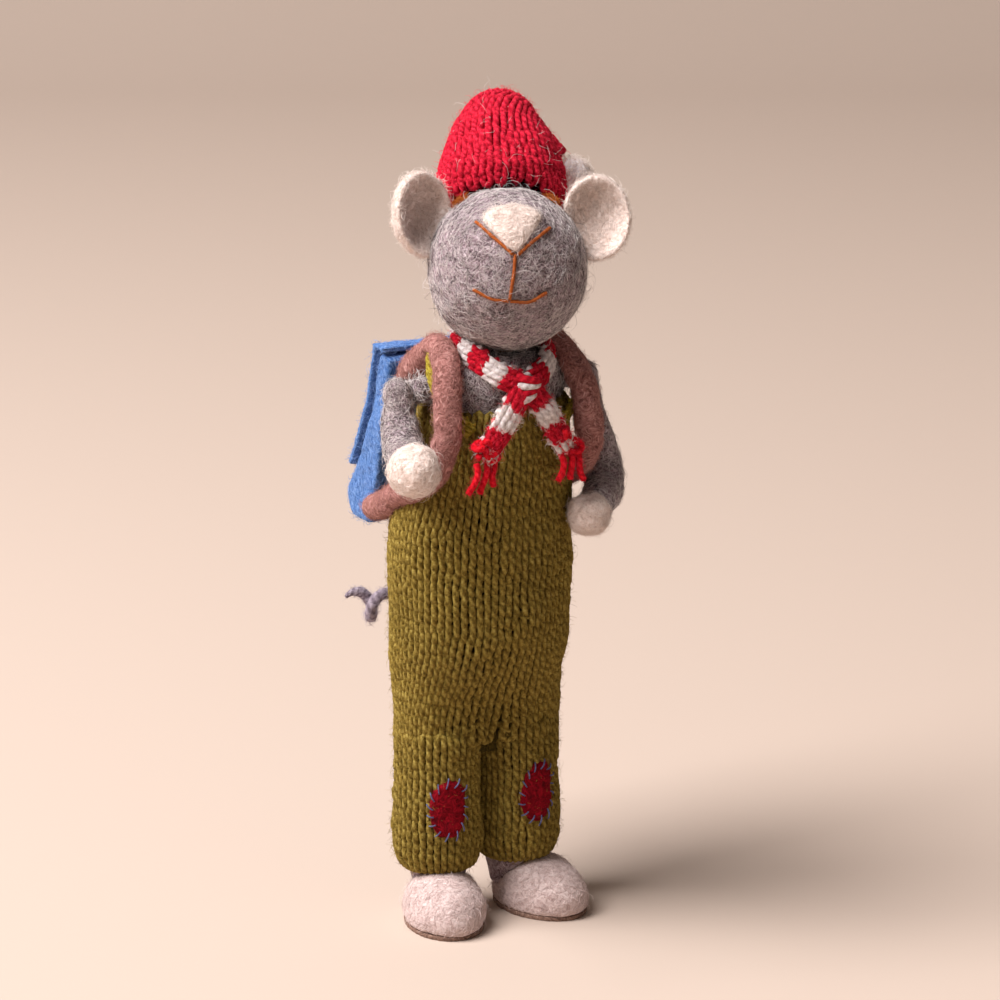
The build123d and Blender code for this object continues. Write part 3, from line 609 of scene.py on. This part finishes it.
# the hat's backing is dark red: painted shade between the stitches
points, faces = sheet_mesh(hat_surface, 0.0, HAT_LENGTH, 50, 48, 1.5)
make("hat_painted_shade_backing", points, faces, RED_PAINTED_SHADE, "hat")
fuzz("hat_fuzz", hat, 7000, RED_HAIR, "hat", length=2.6, radius=0.045, lift=0.5, stray=0.3, seed=4,
     stray_lift=0.5)
fuzz("hat_stray_hairs", hat, 260, LIGHT_HAIR, "hat", length=4.5, radius=0.045, lift=0.8, stray=0.4,
     seed=5, stray_lift=0.45)
pompom = soft_copy("pompom", "pompom_felt", WHITE, "hat", voxel=0.5, passes=3, amount=0.5, scale=4)
fuzz("pompom_fuzz", pompom, 900, CREAM_HAIR, "hat", length=2.6, lift=0.4, stray=0.3, seed=6)

# ---- head -----------------------------------------------------------------------------------
head = soft_copy("head", "head_felt", GREY, "head", voxel=0.8, passes=5, amount=0.55, scale=11)
fuzz("head_light_hair", head, 8000, LIGHT_HAIR, "head", length=5.5, radius=0.042, lift=0.35,
     stray=0.04, hug=1 / 26, seed=7)
fuzz("head_dark_hair", head, 4500, DARK_HAIR, "head", length=5.0, radius=0.042, lift=0.3, stray=0.03,
     hug=1 / 26, seed=8)


def on_ball(a, b, lift=0.0):
    """A place on the head, seen along the nose, and how far it stands off."""
    a, b = np.asarray(a, float), np.asarray(b, float)
    c = HEAD_LENGTH * np.sqrt(np.clip(1 - (a ** 2 + b ** 2) / HEAD_WIDTH ** 2, 0, 1))
    p = a[..., None] * SIDE + b[..., None] * TOP + c[..., None] * NOSE
    n = unit(a[..., None] * SIDE / HEAD_WIDTH ** 2 + b[..., None] * TOP / HEAD_WIDTH ** 2
             + c[..., None] * NOSE / HEAD_LENGTH ** 2)
    return HEAD_CENTRE + p + n * np.asarray(lift, float)[..., None], n


def ball_patch(name, outline, thick, mat, node, rings=26, seed=3.0):
    """A felt shape needled on to the head, domed to its edge."""
    outline = np.asarray(outline, float)
    middle = outline.mean(0)
    share = np.linspace(0, 1, rings)
    a = middle[0] + (outline[:, 0] - middle[0])[None, :] * share[:, None]
    b = middle[1] + (outline[:, 1] - middle[1])[None, :] * share[:, None]
    lift = thick * np.sqrt(np.clip(1 - share ** 5, 0, 1))[:, None] * np.ones_like(a)
    lift = lift + wobble(np.stack([a, b, a * 0], -1), 0.3, 4.0, seed) * (1 - share[:, None] ** 4)
    p, _ = on_ball(a, b, lift - 0.25)
    return make(name, p.reshape(-1, 3), grid_faces(rings, len(outline), False, True).tolist(), mat, "head",
                [node])


def rounded(corners, count=72, passes=9):
    """A closed outline through corners, softened."""
    corners = np.asarray(corners, float)
    loop = np.vstack([corners, corners[:1]])
    run = np.concatenate([[0], np.cumsum(np.linalg.norm(np.diff(loop, axis=0), axis=1))])
    want = np.linspace(0, run[-1], count, endpoint=False)
    line = np.stack([np.interp(want, run, loop[:, k]) for k in range(2)], -1)
    for _ in range(passes):
        line = (np.roll(line, 1, 0) + 2 * line + np.roll(line, -1, 0)) / 4
    return line


nose = ball_patch("nose_felt", rounded([(-10.2, 5.8), (-7.2, 9.2), (0, 10.6), (7.2, 9.2), (10.2, 5.8), (6.6, 0.4),
                                        (1.6, -7.2), (-1.0, -7.2), (-6.8, 0.2)]),
                  2.0, CREAM, "nose_patch")
fuzz("nose_fuzz", nose, 700, CREAM_HAIR, "head", length=3.0, radius=0.05, lift=0.25, stray=0.08,
     hug=1 / 27, seed=9)

MOUTH = [
    [(-11.4, 5.0), (-6.4, -1.6), (-0.6, -7.6)],
    [(11.8, 2.4), (7.0, -2.4), (1.2, -7.6)],
    [(0.2, -7.6), (-0.4, -13.2), (-1.6, -19.2)],
    [(-1.8, -19.6), (-7.4, -18.4), (-12.8, -15.2)],
    [(-1.4, -19.6), (4.6, -19.6), (10.2, -16.8)],
]
threads = []
for line in MOUTH:
    ab = smooth_line(np.asarray(line), 22)
    threads.append(on_ball(ab[:, 0], ab[:, 1], 0.5 + 0 * ab[:, 0]))
paths, normals = (np.array([t[k] for t in threads]) for k in (0, 1))
points, faces, tags = tubes(paths, normals, 0.52, sides=8)
mouth = make("mouth_thread_stitches", points, faces, THREAD, "head", ["mouth_stitching"], tags)
fuzz("mouth_fuzz", mouth, 160, EYE_HAIR, "head", length=1.6, radius=0.04, lift=0.2, stray=0.2, seed=10)

for sign, side in ((-1, "right"), (1, "left")):
    eye = soft_copy(f"eye_{side}", f"eye_{side}_felt", EYE, "head", voxel=0.3, passes=2, amount=0.3,
                    scale=1.6)
    fuzz(f"eye_{side}_fuzz", eye, 260, EYE_HAIR, "head", length=1.9, radius=0.06, lift=0.4, stray=0.5,
         seed=12 + sign, stray_lift=0.6)
    ear = soft_copy(f"ear_{side}", f"ear_{side}_felt", CREAM, "head", voxel=0.6, passes=6,
                    amount=0.5, scale=6.0, seed=2.0 + sign)
    fuzz(f"ear_{side}_fuzz", ear, 2600, CREAM_HAIR, "head", length=3.0, radius=0.05, lift=0.25,
         stray=0.1, seed=14 + sign, stray_lift=0.35)

# ---- torso, arms and hands --------------------------------------------------------------------
def inside_trousers(points, normals):
    """Draws the hidden part of the body in, clear of the knitted garment round it."""
    share = np.interp(points[:, 2], (60, 84, 118, 150, 165), (0.12, 0.2, 0.84, 0.9, 1.0))[:, None]
    middle = np.array([CROTCH_X, 0.0])
    return np.hstack([middle + (points[:, :2] - middle) * share, points[:, 2:]])


torso = soft_copy("torso", "torso_felt", GREY, "doll", voxel=1.3, passes=4, amount=0.5, scale=9,
                  shape=inside_trousers)


def above_trousers(place):
    return (place[:, 2] > 168) | (place[:, 2] < 30)


fuzz("torso_light_hair", torso, 16000, LIGHT_HAIR, "doll", length=5.0, radius=0.06, lift=0.3,
     stray=0.06, hug=1 / 26, seed=20, keep=above_trousers)
fuzz("torso_dark_hair", torso, 10000, DARK_HAIR, "doll", length=5.0, radius=0.06, lift=0.3,
     stray=0.05, hug=1 / 26, seed=21, keep=above_trousers)
for sign, side in ((-1, "right"), (1, "left")):
    def slimmer(points, normals, middle=np.array(LEG_CENTRES[side])):
        share = np.interp(points[:, 2], (16, 26), (1.0, 0.8))[:, None]
        return np.hstack([middle + (points[:, :2] - middle) * share, points[:, 2:]])

    leg = soft_copy(f"leg_{side}", f"leg_{side}_felt", GREY, "doll", voxel=1.1, amount=0.3, shape=slimmer)
    arm = soft_copy(f"arm_{side}", f"arm_{side}_felt", GREY, f"arm_{side}", voxel=0.7, passes=10,
                    amount=0.5, scale=7, seed=5.0 + sign)
    fuzz(f"arm_{side}_light_hair", arm, 3400, LIGHT_HAIR, f"arm_{side}", length=3.4, radius=0.042,
         lift=0.3, stray=0.05, hug=1 / 9, seed=22 + sign, stray_lift=0.35)
    fuzz(f"arm_{side}_dark_hair", arm, 2000, DARK_HAIR, f"arm_{side}", length=3.4, radius=0.042,
         lift=0.3, stray=0.04, hug=1 / 9, seed=24 + sign, stray_lift=0.35)
    hand = soft_copy(f"hand_{side}", f"hand_{side}_felt", CREAM, f"arm_{side}", voxel=0.6, passes=4,
                     amount=0.7, scale=5, seed=7.0 + sign)
    fuzz(f"hand_{side}_fuzz", hand, 1500, CREAM_HAIR, f"arm_{side}", length=3.4, radius=0.045,
         lift=0.3, stray=0.06, hug=1 / 8, seed=26 + sign, stray_lift=0.35)

# ---- shoes --------------------------------------------------------------------------------------
for sign, side in ((-1, "right"), (1, "left")):
    shoe = soft_copy(f"shoe_{side}", f"shoe_{side}_felt", PINK, "doll", voxel=0.8, passes=8,
                     amount=0.5, scale=8, seed=8.0 + sign)
    fuzz(f"shoe_{side}_fuzz", shoe, 2600, PINK_HAIR, "doll", length=2.8, radius=0.05, lift=0.3,
         stray=0.1, hug=1 / 18, seed=28 + sign, keep=lambda p: p[:, 2] > 3)
    soft_copy(f"sole_{side}", f"sole_{side}_felt", SOLE, "doll", voxel=0.5, passes=2, amount=0.12,
              scale=5)

# ---- backpack and straps --------------------------------------------------------------------------
pack = soft_copy("backpack", "backpack_felt", BLUE, "doll", voxel=0.9, passes=6, amount=0.8, scale=12)
fuzz("backpack_fuzz", pack, 7000, BLUE_HAIR, "doll", length=2.6, radius=0.05, lift=0.35, stray=0.2,
     seed=32, stray_lift=0.35)
flap = soft_copy("pack_flap", "pack_flap_felt", BLUE, "pack_flap", voxel=0.8, passes=3, amount=0.3,
                 scale=9)
fuzz("pack_flap_fuzz", flap, 3200, BLUE_HAIR, "pack_flap", length=2.6, radius=0.05, lift=0.35,
     stray=0.2, seed=33, stray_lift=0.35)
soft_copy("pack_button", "pack_button_felt", BROWN, "pack_flap", voxel=0.4, passes=3, amount=0.2,
          scale=4)
for sign, side in ((-1, "right"), (1, "left")):
    strap = soft_copy(f"pack_strap_{side}", f"pack_strap_{side}_felt", BROWN, "doll", voxel=0.8,
                      passes=5, amount=0.6, scale=6, seed=9.0 + sign)
    fuzz(f"pack_strap_{side}_fuzz", strap, 3200, BROWN_HAIR, "doll", length=3.0, radius=0.05,
         lift=0.35, stray=0.16, hug=1 / 12, seed=34 + sign, stray_lift=0.35)

# ---- knee patches -----------------------------------------------------------------------------------
# outlines round each patch's middle: across the leg and up it
KNEE_MIDDLE = {"right": (-18.3, 40.8), "left": (14.5, 42.4)}
KNEE_OUTLINE = {
    "right": [(-6.6, 3.0), (-3.6, 8.6), (1.6, 10.8), (5.6, 8.0), (6.6, 0.6), (5.0, -6.4), (1.4, -10.4), (-3.2, -9.4),
              (-6.2, -4.0)],
    "left": [(-6.4, -2.4), (-4.8, 5.2), (-1.0, 10.6), (3.4, 11.0), (6.4, 6.0), (6.0, -3.0), (3.4, -8.8), (-0.4, -11.2),
             (-4.6, -8.0)],
}


def on_leg(side, x, z, lift):
    """A place over the front of a trouser leg."""
    cx, cy = LEG_CENTRES[side]
    angle = -math.pi / 2 + (x - cx) / 14.4
    skin, out = with_normals(leg_shape(side))(angle / (2 * math.pi), z)
    return skin + out * np.asarray(lift)[..., None], out


for sign, side in ((-1, "right"), (1, "left")):
    x0, z0 = KNEE_MIDDLE[side]
    outline = rounded(KNEE_OUTLINE[side], 90, 6)
    outline = outline * (1 + wobble(outline @ np.eye(2, 3), 0.1, 2.6, 4.0)[:, None])
    share = np.linspace(0, 1, 22)
    x = x0 + outline[:, 0][None] * share[:, None]
    z = z0 + outline[:, 1][None] * share[:, None]
    dome = 1.0 + 1.9 * np.sqrt(np.clip(1 - share ** 7, 0, 1))[:, None]
    lift = dome + wobble(np.stack([x, z, x * 0], -1), 0.35, 3.0)
    p, _ = on_leg(side, x, z, lift)
    faces = grid_faces(22, 90, False, True)[:, ::-1].tolist()
    patch = make(f"knee_patch_{side}_felt", p.reshape(-1, 3), faces, PATCH, "doll",
                 [f"knee_patch_{side}"])
    fuzz(f"knee_patch_{side}_fuzz", patch, 1100, PATCH_HAIR, "doll", length=2.2, radius=0.045,
         lift=0.3, stray=0.12, seed=36 + sign)
    stitches = []
    for k in range(3, 90, 6):
        inner, outer = outline[k] * 0.8, outline[(k + 2) % 90] * 1.1
        ends = np.linspace(inner, outer, 7)
        hump = 2.2 + 1.1 * np.sin(np.linspace(0.5, math.pi - 0.1, 7))
        stitches.append(on_leg(side, x0 + ends[:, 0], z0 + ends[:, 1], hump))
    points, faces, tags = tubes(np.array([q[0] for q in stitches]), np.array([q[1] for q in stitches]), 0.24, sides=6)
    make(f"knee_patch_{side}_stitches", points, faces, STITCH, "doll", (), tags)

# ---- scarf and bib straps ---------------------------------------------------------------------------
def ribbon(line, outward, width):
    """Surface of a band along a line: u across it, v in millimetres along it."""
    line = smooth_line(line, 120)
    out = smooth_line(outward, 120)
    run = np.concatenate([[0], np.cumsum(np.linalg.norm(np.diff(line, axis=0), axis=1))])

    def surface(u, v):
        centre = np.stack([np.interp(v, run, line[:, k]) for k in range(3)], -1)
        ahead = unit(np.stack([np.interp(v + 0.5, run, line[:, k]) - np.interp(v - 0.5, run, line[:, k])
                               for k in range(3)], -1))
        face = np.stack([np.interp(v, run, out[:, k]) for k in range(3)], -1)
        across = unit(np.cross(ahead, face))
        face = np.cross(across, ahead)
        offset = (u - 0.5) * width
        drop = (offset ** 2 / width * 0.9)[..., None]
        return centre + across * offset[..., None] - face * drop, face
    return surface, run[-1]


NECK = [(0.6, -30.4, 188.2), (-6.6, -28.0, 191.6), (-11.6, -21.0, 195.4), (-13.4, -11.0, 198.2), (-11.4, -2.0, 200.4),
        (-5.0, 4.6, 201.6), (3.0, 6.4, 201.6), (10.4, 4.0, 201.0), (15.6, -3.0, 199.8), (16.6, -12.0, 197.6),
        (14.4, -21.0, 194.6), (8.4, -27.6, 190.8), (0.6, -30.6, 188.2)]
NECK_OUT = [(x - 2.2, y + 10.0, 1.0) for x, y, z in NECK]
SCARF_TAILS = {
    "right": [(0.0, -31.6, 187.6), (-4.6, -32.4, 180.6), (-9.6, -31.8, 172.6), (-14.0, -30.8, 165.4)],
    "left": [(2.0, -31.6, 187.6), (7.0, -32.2, 181.0), (11.6, -31.4, 173.4), (16.0, -30.6, 165.8)],
}
scarf_bands = {"loop": (NECK, NECK_OUT), "right": (SCARF_TAILS["right"], [(-0.1, -1, 0.1)] * 4),
               "left": (SCARF_TAILS["left"], [(0.1, -1, 0.1)] * 4)}
SCARF_WIDTH = 7.4
scarf_pieces, scarf_backs, scarf_faces = [], [], []
for name, (line, outward) in scarf_bands.items():
    surface, length = ribbon(line, outward, SCARF_WIDTH)
    paths, normals = knit_paths(surface, 2, 0.6, length - 0.4, 3.5, rng, segments=12, depth=0.8, closed=False)
    rows = np.arange(len(paths))
    for colour, mat, chosen in (("red", SCARF_RED, rows % 4 < 2), ("white", SCARF_WHITE, rows % 4 > 1)):
        points, faces, tags = tubes(paths[chosen], normals[chosen], 1.12, sides=8)
        scarf_pieces.append(make(f"scarf_{name}_{colour}_knit", points, faces, mat, "doll", (), tags))
    # a band just under the scarf's knit, dark red: painted shade between the stitches
    u, v = np.meshgrid(np.linspace(0.02, 0.98, 7), np.linspace(0, length, 60))
    p, n = surface(u.ravel(), v.ravel())
    scarf_faces.extend([[i + sum(len(q) for q in scarf_backs) for i in f] for f in grid_faces(60, 7).tolist()])
    scarf_backs.append(p - n * 0.5)
band = make("scarf_painted_shade_band", np.vstack(scarf_backs), scarf_faces, RED_PAINTED_SHADE, "doll",
            ["scarf_loop", "scarf_end_right", "scarf_end_left"])
# the ends cross in a knot of four turns, two of each colour
KNOT = (1.4, -30.0, 187.6)
knot_turns = []
for k in range(4):
    s = np.linspace(0, 2 * math.pi, 26)[:-1]
    lean = 0.5 - 0.25 * k
    ring = np.stack([3.4 * np.sin(s) * math.cos(lean) + (k - 1.5) * 0.4, 3.0 * np.cos(s),
                     3.2 * np.sin(s) * math.sin(lean) + (k - 1.5) * 1.9], -1)
    knot_turns.append(ring + KNOT)
knot_turns = np.array(knot_turns)
for k, (mat, colour) in enumerate(((SCARF_WHITE, "white"), (SCARF_RED, "red"))):
    turns = knot_turns[k::2]
    points, faces, tags = tubes(turns, unit(turns - KNOT), 1.35, sides=8, closed=True)
    scarf_pieces.append(make(f"scarf_knot_{colour}", points, faces, mat, "doll",
                             ["scarf_knot"] if k == 0 else (), tags))
# each end is gathered in curls of yarn, and three strands hang from it
fringe_rng = np.random.default_rng(5)
for side, line in SCARF_TAILS.items():
    end = np.array(line[-1])
    strands = []
    for k in range(7):
        s = np.linspace(0, 1, 18)
        middle = end + fringe_rng.uniform((-3.0, -1.2, -1.5), (3.0, 0.8, 5.0))
        a, b = unit(fringe_rng.normal(size=(2, 3)) * (1, 0.5, 1))
        size = fringe_rng.uniform(1.5, 2.5)
        angle = s * fringe_rng.uniform(3.6, 5.6)
        strands.append(middle + size * (np.cos(angle)[:, None] * a + np.sin(angle)[:, None] * b))
    for k, spread in enumerate((-2.8, 0.3, 3.2)):
        s = np.linspace(0, 1, 18)
        drop = fringe_rng.uniform(7.5, 10.5)
        x = end[0] + spread * (1 + 0.5 * s) + 0.9 * np.sin(s * 4 + k) + (-1 if side == "right" else 1) * 1.2 * s
        y = end[1] - 1.4 * np.sin(s * 2.6) + 0.4 * k
        strands.append(np.stack([x, y, end[2] - 1.0 - drop * s], -1))
    strands = np.array(strands)
    facing = np.broadcast_to([0.1, -1.0, 0.15], strands.shape)
    points, faces, tags = tubes(strands, facing, 1.08, sides=8)
    fringe = make(f"scarf_fringe_{side}_yarn", points, faces, BRIGHT_RED, "doll",
                  [f"scarf_fringe_{side}"], tags)
    scarf_pieces.append(fringe)
    fuzz(f"scarf_fringe_{side}_fuzz", fringe, 700, RED_HAIR, "doll", length=1.8, radius=0.045, lift=0.3,
         stray=0.3, seed=44)
BAND_PIECES = 6                  # the knitted ones, before the knot and fringe
for k, piece in enumerate(scarf_pieces[:BAND_PIECES]):
    white = "white" in piece.name
    fuzz(piece.name + "_fuzz", piece, 900, CREAM_HAIR if white else RED_HAIR, "doll", length=2.0,
         radius=0.045, lift=0.3, stray=0.3, seed=50 + k)

BIB_STRAPS = {
    "right": [(-15.0, -23.0, 172.0), (-21.4, -18.2, 180.0), (-23.6, -12.0, 190.0), (-20.4, -4.0, 197.0),
              (-17.0, 6.4, 190.0), (-15.0, 13.0, 180.0), (-14.6, 15.6, 171.0)],
    "left": [(18.0, -23.0, 172.0), (25.4, -18.2, 180.0), (27.8, -12.0, 190.0), (25.0, -4.0, 197.0),
             (21.0, 6.4, 190.0), (18.0, 13.0, 180.0), (17.4, 15.6, 171.0)],
}
for side, line in BIB_STRAPS.items():
    outward = [(x - 2.0, y + 4.0, z - 178.0) for x, y, z in line]
    surface, length = ribbon(line, outward, 5.0)
    paths, normals = knit_paths(surface, 2, 0, length, 2.9, rng, segments=10, depth=0.5, closed=False)
    points, faces, tags = tubes(paths, normals, 0.78, sides=6)
    strap = make(f"bib_strap_{side}_knit", points, faces, LIME, "doll", [f"bib_strap_{side}"], tags)
    fuzz(f"bib_strap_{side}_fuzz", strap, 900, OLIVE_HAIR, "doll", length=2.0, radius=0.045, lift=0.3,
         stray=0.3, seed=60)

# ---- tail -------------------------------------------------------------------------------------------
TAIL = [(-1.0, 29.4, 97.0), (-8.4, 41.0, 96.2), (-14.0, 49.0, 95.2), (-22.0, 61.0, 94.0)]
spine = smooth_line(np.asarray(TAIL), 160)
way = unit(np.gradient(spine, axis=0))
over = unit(np.cross(way, np.broadcast_to([0.0, 0, 1.0], way.shape)))
rise = np.cross(over, way)
s = np.linspace(0, 1, 160)
turn = 2 * math.pi * 3.3 * s ** 0.9 + 0.5
swing = np.clip(s / 0.22, 0, 1) * (5.0 - 1.0 * s)
curl = spine + swing[:, None] * (np.cos(turn)[:, None] * over + np.sin(turn)[:, None] * rise)
thick = 1.9 * np.clip(0.35 + (1 - s) * 9, 0, 1)
points, faces, tags = tubes(curl[None], rise[None], thick[None], sides=14)
tail = make("tail_yarn", points, faces, LILAC, "tail", ["tail"], tags)
fuzz("tail_fuzz", tail, 900, LILAC_HAIR, "tail", length=2.2, radius=0.05, lift=0.3, stray=0.3, seed=40)

# ---- hidden wires and peg -------------------------------------------------------------------------
STEEL, tree, bsdf = nodes_of("drawn_steel", 0.35, 0.0, (1, 1, 1))
bsdf.inputs["Metallic"].default_value = 1.0
bsdf.inputs["Base Color"].default_value = (0.55, 0.54, 0.52, 1)
place = tree.nodes.new("ShaderNodeTexCoord").outputs["Object"]
bump(tree, bsdf, noise_node(tree, place, 1200.0).outputs["Fac"], 0.3, 0.0001)
WOOD, tree, bsdf = nodes_of("peg_wood", 0.6, 0.0, (1, 1, 1))
place = tree.nodes.new("ShaderNodeTexCoord").outputs["Object"]
grain = tree.nodes.new("ShaderNodeMapping")
grain.inputs["Scale"].default_value = (700, 700, 60)
link(tree, place, grain.inputs["Vector"])
rings = noise_node(tree, grain.outputs[0], 1.0, 4.0)
tone = ramp_node(tree, rings.outputs["Fac"], [(0.35, rgb(150, 108, 66)), (0.65, rgb(206, 168, 118))])
link(tree, tone.outputs["Color"], bsdf.inputs["Base Color"])
for name, mat in (("leg_wire_right", STEEL), ("leg_wire_left", STEEL), ("shoulder_wire", STEEL), ("neck_peg", WOOD)):
    node = frame["nodes"][name]
    node.data.materials.clear()
    node.data.materials.append(mat)

# ---- floor, lights and camera -----------------------------------------------------------------------
AZIMUTH, ELEVATION = math.radians(-25.0), math.radians(15.0)
LOOK_AT = to_world((5.4 / 0.906, 0, 142.2))
forward = np.array([-math.sin(AZIMUTH) * math.cos(ELEVATION), math.cos(AZIMUTH) * math.cos(ELEVATION),
                    -math.sin(ELEVATION)])
right = unit(np.cross(forward, [0, 0, 1]))
up = np.cross(right, forward)

# the paper lies flat, then bends up behind the doll, in metres along the line of sight
BEND_START, BEND_RADIUS = 1.6, 0.9
run = np.linspace(0, 1, 60)
floor_y = np.concatenate([np.linspace(-3.0, BEND_START, 24), BEND_START + BEND_RADIUS * np.sin(run * math.pi / 2),
                          [BEND_START + BEND_RADIUS] * 2])
floor_z = np.concatenate([np.zeros(24), BEND_RADIUS * (1 - np.cos(run * math.pi / 2)), [2.0, 3.5]])
ahead = unit(np.array([forward[0], forward[1], 0]))
points = np.array([[x * right + y * ahead + [0, 0, z] for x in np.linspace(-4, 4, 9)]
                   for y, z in zip(floor_y, floor_z)])
mesh = bpy.data.meshes.new("backdrop")
mesh.from_pydata(points.reshape(-1, 3).tolist(), [], grid_faces(len(floor_y), 9).tolist())
mesh.polygons.foreach_set("use_smooth", np.ones(len(mesh.polygons), bool))
backdrop = bpy.data.objects.new("backdrop", mesh)
bpy.context.collection.objects.link(backdrop)
mat, tree, bsdf = nodes_of("paper", 0.9, 0.0, (1, 1, 1))
bsdf.inputs["Base Color"].default_value = (*rgb(198, 180, 167), 1)
mesh.materials.append(mat)


def area_light(name, place, target, size, power, colour):
    """A rectangular lamp turned to its target."""
    data = bpy.data.lights.new(name, "AREA")
    data.shape = "RECTANGLE"
    data.size, data.size_y = size
    data.energy = power
    data.color = colour
    lamp = bpy.data.objects.new(name, data)
    lamp.location = place
    lamp.rotation_euler = (Vector(target) - Vector(place)).to_track_quat("-Z", "Y").to_euler()
    bpy.context.collection.objects.link(lamp)


middle = to_world((0, 0, 130))
key_way = unit(-right * 0.92 - ahead * 0.36 + np.array([0, 0, 1.36]))
area_light("key", middle + key_way * 2.4, middle, (1.6, 1.6), 132.0, (1.0, 0.97, 0.965))
fill_way = unit(right * 0.7 - ahead * 0.6 + np.array([0, 0, 0.35]))
area_light("fill", middle + fill_way * 2.2, middle, (1.6, 1.6), 1.6, (1.0, 0.93, 0.9))
world = bpy.data.worlds.new("studio")
bpy.context.scene.world = world
world.use_nodes = True
world.node_tree.nodes["Background"].inputs["Color"].default_value = (1.0, 0.9, 0.82, 1)
world.node_tree.nodes["Background"].inputs["Strength"].default_value = 0.14

camera = bpy.data.cameras.new("camera")
camera.sensor_width = 36
camera.lens = 163
camera.clip_end = 20
eye = bpy.data.objects.new("camera", camera)
eye.location = LOOK_AT - forward * 1.5
eye.rotation_euler = Vector(forward).to_track_quat("-Z", "Y").to_euler()
bpy.context.collection.objects.link(eye)
bpy.context.scene.camera = eye
bpy.context.scene.view_settings.view_transform = "Standard"
